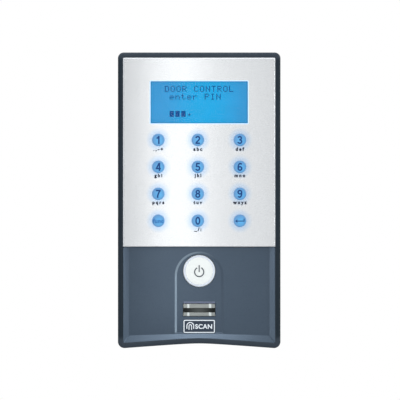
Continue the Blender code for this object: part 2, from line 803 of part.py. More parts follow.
def make_boards(parts, cutters):
    half = MAIN_BOARD_HALF_WIDTH
    main_back = MAIN_BOARD_FRONT + BOARD_THICKNESS
    scanner_back = SCANNER_BOARD_FRONT + BOARD_THICKNESS
    main = block("main_board", (-half, half), (MAIN_BOARD_FRONT, main_back), MAIN_BOARD_Z, parts)
    scanner = block(
        "scanner_board", (-half, half), (SCANNER_BOARD_FRONT, scanner_back), SCANNER_BOARD_Z, parts
    )
    hole_y = (MAIN_BOARD_FRONT - 1.0 * MM, scanner_back + 1.0 * MM)
    for board, places in ((main, MAIN_PILLARS), (scanner, SCANNER_PILLARS)):
        holes = cutter(
            board.name + "_hole_cutter",
            [lambda bm, c=c: add_round(bm, c, hole_y, 1.4 * MM, steps=12) for c in places],
            cutters,
        )
        boolean(board, "DIFFERENCE", holes)

    on_main = main_back + GAP
    chip = block(
        "controller_chip", (-7.0 * MM, 7.0 * MM), (on_main, on_main + 1.4 * MM), (20.0 * MM, 34.0 * MM), parts,
        bevel=0.2 * MM,
    )
    radio = block(
        "radio_module", (11.0 * MM, 29.0 * MM), (on_main, on_main + 2.6 * MM), (52.0 * MM, 76.0 * MM), parts,
        bevel=0.4 * MM,
    )
    sounder_back = on_main + 3.6 * MM
    sounder_profile = (
        (0.0, sounder_back - 1.0 * MM),
        (1.0 * MM, sounder_back - 1.0 * MM),
        (1.0 * MM, sounder_back),
        (7.0 * MM, sounder_back),
        (7.0 * MM, on_main),
        (0.0, on_main),
    )
    sounder = turned("sounder", sounder_profile, (-20.0 * MM, 0.0, 64.0 * MM), "back", 28, parts)
    link_route = (
        (main_back + 0.4 * MM, -21.0 * MM),
        (main_back + 0.4 * MM, -25.4 * MM),
        (scanner_back + 0.4 * MM, -28.4 * MM),
        (scanner_back + 0.4 * MM, -33.0 * MM),
    )
    link = extruded(
        "board_link", strip_outline(link_route, 0.15 * MM), 12.0 * MM, facing_side(26.0 * MM), parts
    )
    return {
        "board_green": [main, scanner],
        "chip_black": [chip, sounder],
        "steel": [radio],
        "flex_amber": [link],
    }


# ---- rear housing, batteries and door ----

def make_rear_housing(parts, cutters):
    wall = HOUSING_INSET + HOUSING_WALL
    profile = (
        (wall, BACK_WALL_FRONT),
        (wall, HOUSING_FRONT_EDGE),
        (HOUSING_INSET, HOUSING_FRONT_EDGE),
        (HOUSING_INSET, HOUSING_REAR_EDGE - 1.2 * MM),
        (HOUSING_INSET + 1.0 * MM, HOUSING_REAR_EDGE),
        (wall, HOUSING_REAR_EDGE),
        (wall, BACK_WALL_BACK),
    )
    housing = lofted("rear_housing", [(body_outline(inset), y) for inset, y in profile], parts)

    embedded = BACK_WALL_BACK - 0.7 * MM
    past_back = BACK_WALL_BACK + 1.0 * MM
    bay_outer = BAY_HALF_WIDTH + BAY_WALL
    bay_block = block(
        "bay_block",
        (-bay_outer, bay_outer),
        (BAY_FRONT - BAY_FRONT_WALL, embedded),
        (BAY_Z[0] - BAY_WALL, BAY_Z[1] + BAY_WALL),
        cutters,
    )
    lock_block = block(
        "lock_block",
        (-9.5 * MM, 9.5 * MM),
        (-13.5 * MM, embedded),
        (-82.0 * MM, BAY_Z[0] - BAY_WALL + 0.5 * MM),
        cutters,
    )
    boss_places = [(side * HOUSING_BOSS_X, z) for side in (-1, 1) for z in HOUSING_BOSS_Z]
    boss_y = (FRAME_BOSS_BACK + GAP, embedded)
    pillars = [
        lambda bm, c=c: add_round(bm, c, boss_y, HOUSING_BOSS_RADIUS, steps=20) for c in boss_places
    ]
    main_y = (MAIN_BOARD_FRONT + BOARD_THICKNESS + GAP, embedded)
    scanner_y = (SCANNER_BOARD_FRONT + BOARD_THICKNESS + GAP, embedded)
    pillars += [lambda bm, c=c: add_round(bm, c, main_y, PILLAR_RADIUS, steps=16) for c in MAIN_PILLARS]
    pillars += [
        lambda bm, c=c: add_round(bm, c, scanner_y, PILLAR_RADIUS, steps=16) for c in SCANNER_PILLARS
    ]
    boolean(housing, "UNION", bay_block)
    boolean(housing, "UNION", lock_block)

    bay = block(
        "bay_cutter", (-BAY_HALF_WIDTH, BAY_HALF_WIDTH), (BAY_FRONT, past_back), BAY_Z, cutters
    )
    doorway_half = DOOR_HALF_WIDTH + 0.6 * MM
    doorway = block(
        "doorway_cutter",
        (-doorway_half, doorway_half),
        (DOOR_HINGE_Y - DOOR_KNUCKLE_RADIUS - GAP, past_back),
        (BAY_Z[0] - 0.3 * MM, DOOR_HINGE_Z + DOOR_KNUCKLE_RADIUS + GAP),
        cutters,
    )
    lock_pocket = block(
        "lock_pocket_cutter", (-8.0 * MM, 8.0 * MM), (-12.0 * MM, past_back), (-80.6 * MM, -70.5 * MM), cutters
    )
    for tool in (bay, doorway, lock_pocket):
        boolean(housing, "DIFFERENCE", tool)
    boolean(housing, "UNION", cutter("housing_pillars", pillars, cutters))

    hinge_bore = bmesh.new()
    across = Matrix.Rotation(math.radians(90), 4, "Y")
    for side in (-1, 1):
        place = Matrix.Translation((side * (DOOR_HALF_WIDTH + 0.85 * MM), DOOR_HINGE_Y, DOOR_HINGE_Z)) @ across
        bmesh.ops.create_cone(
            hinge_bore, cap_ends=True, segments=16, radius1=DOOR_PIN_RADIUS + GAP,
            radius2=DOOR_PIN_RADIUS + GAP, depth=1.5 * MM, matrix=place,
        )
    boolean(housing, "DIFFERENCE", add_object("hinge_bore_cutter", hinge_bore, cutters))

    bores = []
    for c in boss_places:
        bores.append(lambda bm, c=c: add_round(bm, c, (FRAME_BOSS_BACK - 1.0 * MM, -7.5 * MM), 1.6 * MM, steps=12))
    for c in MAIN_PILLARS + SCANNER_PILLARS:
        bores.append(lambda bm, c=c: add_round(bm, c, (-24.0 * MM, -12.0 * MM), 1.3 * MM, steps=12))
    boolean(housing, "DIFFERENCE", cutter("pillar_bore_cutter", bores, cutters))
    sinks = [
        lambda bm, c=c: add_round(bm, c, (-8.0 * MM, past_back), 3.1 * MM, steps=20) for c in boss_places
    ]
    boolean(housing, "DIFFERENCE", cutter("screw_sink_cutter", sinks, cutters))

    slots = []
    for side in (-1, 1):
        centre = side * HOOK_X
        slots.append(
            lambda bm, c=centre: add_block(
                bm, (c - 4.5 * MM, c + 4.5 * MM), (BACK_WALL_FRONT - 1.0 * MM, past_back),
                (HOOK_Z - 4.8 * MM, HOOK_Z + 1.8 * MM),
            )
        )
        lead = side * 12.0 * MM
        slots.append(
            lambda bm, c=lead: add_block(
                bm, (c - 1.3 * MM, c + 1.3 * MM), (CELL_Y - 3.9 * MM, CELL_Y + 3.9 * MM),
                (BAY_Z[1] - 1.0 * MM, BAY_Z[1] + BAY_WALL + 1.0 * MM),
            )
        )
    boolean(housing, "DIFFERENCE", cutter("slot_cutter", slots, cutters))

    for name, radius, z in (
        ("lock_screw_bore_cutter", 1.7 * MM, (-85.0 * MM, -79.5 * MM)),
        ("lock_screw_sink_cutter", 3.1 * MM, (-85.0 * MM, -81.6 * MM)),
    ):
        bm = bmesh.new()
        bmesh.ops.create_cone(
            bm, cap_ends=True, segments=20, radius1=radius, radius2=radius, depth=z[1] - z[0],
            matrix=Matrix.Translation((0.0, LOCK_SCREW_Y, (z[0] + z[1]) / 2)),
        )
        boolean(housing, "DIFFERENCE", add_object(name, bm, cutters))
    shade_round(housing)
    return housing


def make_seal(parts):
    profile = (
        (0.8 * MM, FRAME_SKIRT_BACK + GAP),
        (2.4 * MM, FRAME_SKIRT_BACK + GAP),
        (2.4 * MM, HOUSING_FRONT_EDGE - GAP),
        (0.8 * MM, HOUSING_FRONT_EDGE - GAP),
    )
    sections = [(body_outline(inset), y) for inset, y in profile]
    return lofted("perimeter_seal", sections, parts, closed_ring=True)


def make_cells(parts):
    half = CELL_LENGTH / 2
    profile = (
        (0.0, half),
        (2.5 * MM, half),
        (2.7 * MM, half - 1.2 * MM),
        (6.7 * MM, half - 1.2 * MM),
        (CELL_RADIUS, half - 1.8 * MM),
        (CELL_RADIUS, -half + 0.5 * MM),
        (6.7 * MM, -half),
        (0.0, -half),
    )
    return [
        turned(name, profile, (x, CELL_Y, CELL_CENTRE_Z), facing, 32, parts)
        for name, x, facing in (("battery_cell_1", -CELL_X, "up"), ("battery_cell_2", CELL_X, "down"))
    ]


def bump(x, base, tip):
    """A contact's raised part: out from the base line to the tip line and back."""
    return [
        (x - 4.2 * MM, base),
        (x - 2.0 * MM, tip),
        (x + 2.0 * MM, tip),
        (x + 4.2 * MM, base),
    ]


def make_contacts(parts):
    """Two end contacts with tabs through the bay's top wall, and the bridge at the bottom."""
    reach = CELL_LENGTH / 2 + GAP + CONTACT_THICKNESS / 2
    top_base = BAY_Z[1] - GAP - CONTACT_THICKNESS / 2
    bottom_base = BAY_Z[0] + GAP + CONTACT_THICKNESS / 2
    top_tip = CELL_CENTRE_Z + reach
    bottom_tip = CELL_CENTRE_Z - reach
    contacts = []
    for name, side in (("battery_contact_positive", -1), ("battery_contact_negative", 1)):
        line = [(2.0 * MM, top_base)] + bump(CELL_X, top_base, top_tip)
        line += [(12.0 * MM, top_base), (12.0 * MM, top_base + 4.2 * MM)]
        outline = strip_outline([(side * x, z) for x, z in line], CONTACT_THICKNESS)
        contacts.append(extruded(name, outline, CONTACT_WIDTH, facing_front(CELL_Y), parts))
    line = [(-13.5 * MM, bottom_base)] + bump(-CELL_X, bottom_base, bottom_tip)
    line += bump(CELL_X, bottom_base, bottom_tip) + [(13.5 * MM, bottom_base)]
    bridge = strip_outline(line, CONTACT_THICKNESS)
    contacts.append(extruded("battery_bridge", bridge, CONTACT_WIDTH, facing_front(CELL_Y), parts))
    return contacts


def make_lead(name, side, parts):
    """An insulated wire from a contact's tab to the back of the main board."""
    board_back = MAIN_BOARD_FRONT + BOARD_THICKNESS
    start = Vector((side * 12.0 * MM, CELL_Y, BAY_Z[1] + 4.4 * MM))
    end = Vector((side * 12.0 * MM, board_back + GAP, 8.0 * MM))
    corner = Vector((side * 12.0 * MM, CELL_Y, 8.0 * MM))
    curve = bpy.data.curves.new(name, "CURVE")
    curve.dimensions = "3D"
    curve.bevel_depth = 0.6 * MM
    curve.bevel_resolution = 2
    curve.use_fill_caps = True
    spline = curve.splines.new("POLY")
    steps = 10
    spline.points.add(steps)
    for i, point in enumerate(spline.points):
        t = i / steps
        place = start * (1 - t) ** 2 + corner * 2 * t * (1 - t) + end * t**2
        point.co = (*place, 1.0)
    obj = bpy.data.objects.new(name, curve)
    parts.objects.link(obj)
    return obj


def make_battery_door(parts, cutters):
    """A lid hung on two short pins at its top edge; its origin is on the hinge line."""
    bm = bmesh.new()
    add_block(
        bm,
        (-DOOR_HALF_WIDTH, DOOR_HALF_WIDTH),
        (BACK_WALL_FRONT, BACK_WALL_BACK),
        (BAY_Z[0], DOOR_HINGE_Z),
    )
    hinge = (0.0, DOOR_HINGE_Y, DOOR_HINGE_Z)
    door = add_object("battery_door", bm, parts, origin=hinge)
    across = Matrix.Translation(hinge) @ Matrix.Rotation(math.radians(90), 4, "Y")
    for name, radius, length in (
        ("door_knuckle", DOOR_KNUCKLE_RADIUS, 2 * DOOR_HALF_WIDTH - 0.02 * MM),
        ("door_pins", DOOR_PIN_RADIUS, 2 * (DOOR_HALF_WIDTH + 1.2 * MM)),
    ):
        tool = bmesh.new()
        bmesh.ops.create_cone(
            tool, cap_ends=True, segments=20, radius1=radius, radius2=radius, depth=length, matrix=across
        )
        boolean(door, "UNION", add_object(name, tool, cutters))
    grip = block(
        "door_grip_cutter", (-6.0 * MM, 6.0 * MM), (BACK_WALL_BACK - 0.6 * MM, -2.0 * MM),
        (-66.0 * MM, -62.5 * MM), cutters,
    )
    boolean(door, "DIFFERENCE", grip)
    return door


# ---- wall plate and fasteners ----

def make_wall_plate(parts, cutters):
    outline = rounded_rectangle((-PLATE_HALF_WIDTH, PLATE_HALF_WIDTH), PLATE_Z, PLATE_CORNER_RADIUS)
    plate = extruded("wall_plate", outline, -PLATE_FRONT, facing_front(PLATE_FRONT / 2), parts)
    sheet = 1.5 * MM
    rooted = PLATE_FRONT + 0.5 * MM
    tongues = []
    for side in (-1, 1):
        span = (side * HOOK_X - 4.0 * MM, side * HOOK_X + 4.0 * MM)
        profile = (
            (rooted, HOOK_Z),
            (-7.0 * MM, HOOK_Z),
            (-7.0 * MM, HOOK_Z + 6.0 * MM),
            (-5.5 * MM, HOOK_Z + 6.0 * MM),
            (-5.5 * MM, HOOK_Z + sheet),
            (rooted, HOOK_Z + sheet),
        )
        hook = extruded(
            f"hook_{'left' if side < 0 else 'right'}", profile, span[1] - span[0], facing_side(side * HOOK_X), cutters
        )
        tongues.append(hook)
    tab = block(
        "lock_tab",
        (-LOCK_TAB_HALF_WIDTH, LOCK_TAB_HALF_WIDTH),
        (-11.0 * MM, rooted),
        (PLATE_Z[0] + 0.5 * MM, PLATE_Z[0] + 0.5 * MM + sheet),
        cutters,
    )
    tongues.append(tab)
    for tool in tongues:
        boolean(plate, "UNION", tool)

    past = (PLATE_FRONT - 1.0 * MM, 1.0 * MM)
    half_run = (WALL_SLOT_LENGTH - WALL_SLOT_WIDTH) / 2
    radius = WALL_SLOT_WIDTH / 2
    window = block(
        "plate_window_cutter",
        (-PLATE_WINDOW_HALF_WIDTH, PLATE_WINDOW_HALF_WIDTH),
        past,
        PLATE_WINDOW_Z,
        cutters,
    )
    boolean(plate, "DIFFERENCE", window)
    slot_bm = bmesh.new()
    for side in (-1, 1):
        for z in WALL_SLOT_Z:
            x = side * WALL_SLOT_X
            outline = arc((x + half_run, z), radius, -90, 90, 8) + arc((x - half_run, z), radius, 90, 270, 8)
            add_loft(slot_bm, [(outline, past[0]), (outline, past[1])])
    boolean(plate, "DIFFERENCE", add_object("wall_slot_cutter", slot_bm, cutters))
    bm = bmesh.new()
    bmesh.ops.create_cone(
        bm, cap_ends=True, segments=16, radius1=1.6 * MM, radius2=1.6 * MM, depth=5.0 * MM,
        matrix=Matrix.Translation((0.0, LOCK_SCREW_Y, PLATE_Z[0])),
    )
    boolean(plate, "DIFFERENCE", add_object("lock_tab_hole_cutter", bm, cutters))
    return plate


def make_screw(name, centre, facing, head_radius, head_height, shank_radius, shank_length, parts):
    """A pan-head screw; centre is under its head, and facing is where the head points."""
    profile = (
        (0.0, head_height),
        (head_radius * 0.75, head_height),
        (head_radius, head_height * 0.55),
        (head_radius, 0.0),
        (shank_radius, 0.0),
        (shank_radius, -shank_length),
        (0.0, -shank_length - shank_radius * 0.5),
    )
    return turned(name, profile, centre, facing, 16, parts)


def make_fasteners(parts):
    screws = []
    places = [(side * HOUSING_BOSS_X, z) for z in HOUSING_BOSS_Z for side in (-1, 1)]
    for i, (x, z) in enumerate(places, 1):
        centre = (x, -8.0 * MM + GAP, z)
        screws.append(
            make_screw(f"housing_screw_{i}", centre, "back", 2.7 * MM, 1.8 * MM, 1.2 * MM, 12.0 * MM, parts)
        )
    for i, (x, z) in enumerate(MAIN_PILLARS, 1):
        centre = (x, MAIN_BOARD_FRONT - GAP, z)
        screws.append(
            make_screw(f"main_board_screw_{i}", centre, "front", 2.0 * MM, 1.3 * MM, 1.0 * MM, 8.0 * MM, parts)
        )
    for i, (x, z) in enumerate(SCANNER_PILLARS, 1):
        centre = (x, SCANNER_BOARD_FRONT - GAP, z)
        screws.append(
            make_screw(f"scanner_board_screw_{i}", centre, "front", 2.0 * MM, 1.3 * MM, 1.0 * MM, 8.0 * MM, parts)
        )
    centre = (0.0, LOCK_SCREW_Y, -81.6 * MM - GAP)
    screws.append(
        make_screw("lock_screw", centre, "down", 2.7 * MM, 1.2 * MM, 1.25 * MM, 8.0 * MM, parts)
    )
    return screws


def build():
    clear_scene()
    parts = new_collection("fingerprint_scanner_terminal")
    cutters = new_collection("cutters")
    materials = make_materials()

    finished = {
        "slate_frame": [make_front_frame(parts, cutters)],
        "slate_panel": [make_scanner_panel(parts, cutters)],
        "slate_rear": [make_rear_housing(parts, cutters), make_battery_door(parts, cutters)],
        "satin_silver": [make_fascia(parts, cutters)],
        "silicone": [make_keypad_mat(parts, cutters)],
        "seal_rubber": [make_seal(parts)],
        "badge_enamel": [make_badge(parts)],
        "cell_jacket": make_cells(parts),
        "steel": [make_wall_plate(parts, cutters)] + make_contacts(parts) + make_fasteners(parts),
        "lead_red": [make_lead("battery_lead_red", -1, parts)],
        "lead_black": [make_lead("battery_lead_black", 1, parts)],
        "key_blue": [
            make_key(name, x, z, parts)
            for names, z in zip(KEY_NAMES, KEY_ROWS)
            for name, x in zip(names, KEY_COLUMNS)
        ],
    }
    groups = (
        make_display(parts, cutters),
        make_button(parts, cutters),
        make_sensor(parts),
        make_boards(parts, cutters),
    )
    for group in groups:
        for slot, objects in group.items():
            finished.setdefault(slot, []).extend(objects)
    for slot, objects in finished.items():
        for obj in objects:
            obj.data.materials.append(materials[slot])


build()
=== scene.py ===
"""Looks of the fingerprint scanner terminal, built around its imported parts.

Frame: +Z up, +X to the right seen from the front, and the front faces -Y. Lengths are in
metres; MM turns millimetres into metres.
"""

import math

import bmesh
import bpy
from mathutils import Matrix, Vector


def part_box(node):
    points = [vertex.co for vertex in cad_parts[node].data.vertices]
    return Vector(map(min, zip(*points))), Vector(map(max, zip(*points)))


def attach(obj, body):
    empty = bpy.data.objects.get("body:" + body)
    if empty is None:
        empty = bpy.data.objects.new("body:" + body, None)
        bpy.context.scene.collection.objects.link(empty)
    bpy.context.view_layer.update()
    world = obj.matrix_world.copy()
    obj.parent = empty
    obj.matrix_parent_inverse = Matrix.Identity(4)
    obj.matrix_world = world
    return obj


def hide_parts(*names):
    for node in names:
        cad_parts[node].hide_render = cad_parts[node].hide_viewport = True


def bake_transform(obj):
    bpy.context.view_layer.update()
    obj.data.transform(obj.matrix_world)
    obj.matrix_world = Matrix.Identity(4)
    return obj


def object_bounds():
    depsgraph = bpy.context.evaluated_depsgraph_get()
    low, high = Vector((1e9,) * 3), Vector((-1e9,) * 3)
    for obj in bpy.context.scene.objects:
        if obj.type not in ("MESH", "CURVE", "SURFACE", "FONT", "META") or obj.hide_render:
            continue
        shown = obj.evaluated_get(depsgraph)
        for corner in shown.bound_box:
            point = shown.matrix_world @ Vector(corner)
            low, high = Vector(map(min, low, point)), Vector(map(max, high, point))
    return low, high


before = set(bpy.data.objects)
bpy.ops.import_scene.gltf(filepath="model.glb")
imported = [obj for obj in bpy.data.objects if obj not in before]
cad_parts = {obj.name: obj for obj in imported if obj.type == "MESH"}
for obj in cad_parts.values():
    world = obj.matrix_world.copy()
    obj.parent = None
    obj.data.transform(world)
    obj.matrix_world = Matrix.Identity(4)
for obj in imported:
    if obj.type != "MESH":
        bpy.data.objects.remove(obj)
cad_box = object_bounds()
scene = bpy.context.scene

MM = 0.001
TERMINAL = "terminal"
SKIN = 0.02 * MM  # one layer of print

# Outline of the body, as the frame's outer edge and everything inside it.
TOP_CORNER_RADIUS = 3.4 * MM
BOTTOM_CORNER_RADIUS = 3.8 * MM
BOTTOM_SLOPE = 0.0745
BOTTOM_BEND = 8.0 * MM
SMALLEST_CORNER = 0.5 * MM
CORNER_STEPS = 12
HOLLOW_STEPS = 48
RIM_WIDTH = 3.0 * MM
HAIRLINE = 0.05 * MM  # a seam between two parts that meet
SENSOR_BAND_X = 6.4 * MM  # from the middle to a contact rib
CHANNEL_ARCH_Z = -44.3 * MM
CHANNEL_WALL_RADIUS = 13.65 * MM
CHANNEL_FOOT_Z = -77.6 * MM
KEY_CENTRES = [(n, (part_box(n)[0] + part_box(n)[1]) / 2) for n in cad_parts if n.startswith("key_")]
FRAME_LOW, FRAME_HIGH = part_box("front_frame")
INSIDE = FRAME_HIGH - Vector((RIM_WIDTH, 0.0, RIM_WIDTH))

KEY_RADIUS = 3.5 * MM
KEY_HOLE_RADIUS = 3.66 * MM
KEY_FLANGE_RADIUS = 4.8 * MM
KEY_FLANGE_THICKNESS = 0.8 * MM
KEY_STEPS = 72
DOME_STEPS = 48
DIGIT_HEIGHT = 4.7 * MM
DIGIT_WIDTH = 5.5 * MM
DIGIT_STROKE = 0.85 * MM
LABEL_HEIGHT = 2.0 * MM
LABEL_DROP = 4.95 * MM
TOP_ROW = "123"
TOP_ROW_LABEL_DROP = 5.3 * MM
CAPITAL_SHARE = 0.73  # height of a capital, out of the size of its font

BUTTON_STEPS = 96
BUTTON_FLANGE_WIDTH = 1.1 * MM


# ---- materials ----

def linear(red, green, blue):
    """A colour given as it looks on a screen, 0 to 255, as the linear values a shader takes."""
    def one(value):
        value /= 255
        return value / 12.92 if value <= 0.04045 else ((value + 0.055) / 1.055) ** 2.4
    return (one(red), one(green), one(blue))


class Graph:
    """A material's node tree, with short ways to add and link nodes."""

    def __init__(self, name):
        self.material = bpy.data.materials.new(name)
        self.material.use_nodes = True
        self.tree = self.material.node_tree
        self.shader = self.tree.nodes["Principled BSDF"]
        self.place = self.add("ShaderNodeTexCoord").outputs["Object"]

    def add(self, kind, settings=None, **inputs):
        node = self.tree.nodes.new(kind)
        for key, value in (settings or {}).items():
            setattr(node, key, value)
        for key, value in inputs.items():
            self.set(node, int(key[1:]) if key[0] == "_" else key.replace("_", " "), value)
        return node

    def set(self, node, socket, value):
        if isinstance(value, bpy.types.NodeSocket):
            self.tree.links.new(value, node.inputs[socket])
        else:
            target = node.inputs[socket]
            if target.type == "RGBA" and len(value) == 3:
                value = (*value, 1.0)
            target.default_value = value

    def maths(self, operation, first, second=0.0):
        return self.add("ShaderNodeMath", {"operation": operation}, _0=first, _1=second).outputs[0]

    def plus(self, first, second):
        return self.maths("ADD", first, second)

    def minus(self, first, second):
        return self.maths("SUBTRACT", first, second)

    def times(self, first, second):
        return self.maths("MULTIPLY", first, second)

    def gap(self, first, second):
        """How far two values are apart, whichever is the greater."""
        return self.maths("ABSOLUTE", self.minus(first, second))

    def length(self, across, up):
        return self.maths("SQRT", self.plus(self.times(across, across), self.times(up, up)))

    def ramp(self, value, low, high, start=0.0, end=1.0, smooth=False):
        kind = "SMOOTHSTEP" if smooth else "LINEAR"
        node = self.add("ShaderNodeMapRange", {"interpolation_type": kind})
        for i, number in enumerate((value, low, high, start, end)):
            self.set(node, i, number)
        return node.outputs[0]

    def noise(self, size, detail=3.0, roughness=0.55, stretch=None):
        """Noise whose features are about size metres across, drawn out along an axis by stretch."""
        place = self.place
        if stretch:
            shrink = self.add("ShaderNodeVectorMath", {"operation": "MULTIPLY"}, _0=place)
            shrink.inputs[1].default_value = tuple(1 / s for s in stretch)
            place = shrink.outputs[0]
        settings = {"Vector": place, "Scale": 1 / size, "Detail": detail, "Roughness": roughness}
        return self.add("ShaderNodeTexNoise", **settings).outputs["Fac"]

    def spread(self, noise, start=0.0, end=1.0):
        """Noise's usual range drawn out from start to end."""
        return self.ramp(noise, 0.3, 0.7, start, end)

    def patches(self, size, start=0.0, end=1.0):
        """Soft patches about size metres across, from start to end."""
        return self.spread(self.noise(size, 2.0), start, end)

    def mix(self, share, first, second):
        return self.add("ShaderNodeMix", {"data_type": "RGBA"}, _0=share, _6=first, _7=second).outputs[2]

    def scaled(self, colour, share):
        return self.add("ShaderNodeVectorMath", {"operation": "SCALE"}, _0=colour, Scale=share).outputs[0]

    def axes(self):
        return self.add("ShaderNodeSeparateXYZ", _0=self.place).outputs

    def bump(self, heights):
        """Heights is a list of (height socket from 0 to 1, depth in metres), laid over each other."""
        normal = None
        for height, depth in heights:
            node = self.add("ShaderNodeBump", Strength=1.0, Distance=depth, Height=height)
            if normal is not None:
                self.set(node, "Normal", normal)
            normal = node.outputs["Normal"]
        self.set(self.shader, "Normal", normal)

    def finish(self, **values):
        for key, value in values.items():
            self.set(self.shader, key.replace("_", " "), value)
        return self.material


MATERIALS = {}


def material(make):
    """Makes a material, named after the function that fills its node tree."""
    MATERIALS[make.__name__] = make(Graph(make.__name__))
    return make


def moulded(name, tones, grain, roughness, depth, patch=14 * MM, **settings):
    """Moulded plastic, rubber or print: two near tones in soft patches, and a fine surface grain."""
    g = Graph(name)
    cloud = g.patches(patch)
    fine = g.noise(grain, 2.0)
    speck = g.ramp(fine, 0.35, 0.75, 0.94, 1.06)
    shaded = g.scaled(g.mix(cloud, *tones), speck)
    rough = g.ramp(g.plus(g.times(fine, 0.5), g.times(cloud, 0.5)), 0.2, 0.8, *roughness)
    g.bump([(g.noise(patch / 3, 1.0), depth * 1.5), (fine, depth)])
    return g.finish(Base_Color=shaded, Roughness=rough, **settings)


def distance_to_nearest(g, values, axis):
    """How far a point is along one axis from the nearest of some values."""
    nearest = None
    for value in sorted(set(round(v, 6) for v in values)):
        away = g.gap(axis, value)
        nearest = away if nearest is None else g.maths("MINIMUM", nearest, away)
    return nearest


@material
def satin_silver(g):
    """Satin lacquer over aluminium, with a painted glow of the key lamps round each key hole."""
    x, _, z = g.axes()
    centres = [c for _, c in KEY_CENTRES]
    dx = distance_to_nearest(g, [c.x for c in centres], x)
    dz = distance_to_nearest(g, [c.z for c in centres], z)
    # Painted light: the key lamps' blue glow spread over the plate round each key hole.
    painted_lamp_glow = g.ramp(g.length(dx, dz), KEY_RADIUS - 0.4 * MM, KEY_RADIUS + 4.4 * MM, 1.0, 0.0, smooth=True)
    flake = g.noise(0.22 * MM, 2.0, 0.6)
    bare = g.mix(g.patches(22 * MM), (0.742, 0.757, 0.767), (0.762, 0.774, 0.784))
    with_glow = g.mix(g.times(painted_lamp_glow, 0.9), bare, (0.47, 0.62, 0.81))
    speck = g.scaled(with_glow, g.ramp(flake, 0.35, 0.7, 0.975, 1.02))
    rough = g.spread(flake, 0.25, 0.29)
    g.bump([(flake, 0.002 * MM)])
    return g.finish(Base_Color=speck, Roughness=rough, Metallic=0.75)


@material
def display_blue(g):
    """Lit liquid crystal: bright in the middle, with a painted shadow of the bezel darkening its edges, and
    a faint cell grid.
    """
    low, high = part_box("display_window")
    x, _, z = g.axes()
    hidden = 1.4 * MM
    half = (high.x - low.x) / 2 - hidden
    tall = (high.z - low.z) / 2 - hidden
    across = g.maths("ABSOLUTE", g.maths("DIVIDE", g.minus(x, 3 * MM), half))
    glow = g.ramp(across, 0.1, 0.95, 1.0, 0.0, smooth=True)
    side = g.minus(half, g.maths("ABSOLUTE", x))
    edge = g.minus(tall, g.gap(z, (low.z + high.z) / 2))
    # Painted shadow of the bezel, darkening the crystal along the window's edges.
    shadow = g.ramp(g.maths("MINIMUM", side, edge), -0.1 * MM, 0.9 * MM, 0.72, 1.0, smooth=True)
    colour = g.mix(glow, linear(56, 153, 212), linear(30, 168, 226))
    half_cell = 0.25 * MM
    column = g.maths("PINGPONG", g.plus(x, 40 * MM), half_cell)
    grid = g.maths("MAXIMUM", column, g.maths("PINGPONG", z, half_cell))
    cells = g.ramp(grid, 0.8 * half_cell, half_cell, 1.0, 0.965)
    level = g.times(g.times(shadow, cells), g.patches(7 * MM, 0.97, 1.03))
    return g.finish(
        Base_Color=g.scaled(colour, g.times(level, 0.25)),
        Emission_Color=g.scaled(colour, level),
        Emission_Strength=0.8,
        Specular_IOR_Level=0.1,
        Roughness=g.spread(g.noise(0.3 * MM), 0.22, 0.3),
    )


@material
def key_blue(g):
    """Back-lit key cap: translucent blue with a lamp behind its middle."""
    x, _, z = g.axes()
    from_lamp = g.length(g.minus(x, 0.5 * MM), g.plus(z, 0.4 * MM))
    lamp = g.ramp(from_lamp, 0.6 * MM, 4.2 * MM, 1.0, 0.0, smooth=True)
    cloud = g.patches(1.6 * MM, 0.96, 1.04)
    colour = g.mix(lamp, linear(92, 146, 198), linear(84, 168, 224))
    grain = g.noise(0.12 * MM, 2.0)
    g.bump([(grain, 0.002 * MM)])
    return g.finish(
        Base_Color=g.scaled(colour, g.times(cloud, 0.6)),
        Emission_Color=g.scaled(colour, cloud),
        Emission_Strength=0.42,
        Roughness=g.spread(grain, 0.30, 0.40),
    )


@material
def button_white(g):
    """White lacquer, with painted bluish shade on the rounded rim outside the groove."""
    low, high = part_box("on_button_cap")
    x, _, z = g.axes()
    away = g.length(x, z)
    radius = (high.x - low.x) / 2 - BUTTON_FLANGE_WIDTH
    # Painted shade: the rim outside the groove is darker and bluer, easing off at its very edge.
    rim = g.ramp(away, 0.85 * radius, 0.90 * radius, smooth=True)
    outer = g.ramp(away, 0.92 * radius, 0.99 * radius, 1.0, 0.4, smooth=True)
    fine = g.noise(0.2 * MM, 2.0)
    white = g.mix(g.patches(9 * MM), (0.79, 0.83, 0.815), (0.815, 0.85, 0.835))
    colour = g.mix(g.times(rim, outer), white, (0.66, 0.72, 0.83))
    rough = g.spread(fine, 0.28, 0.36)
    g.bump([(fine, 0.002 * MM)])
    return g.finish(Base_Color=colour, Roughness=rough, Coat_Weight=0.2, Coat_Roughness=0.1)


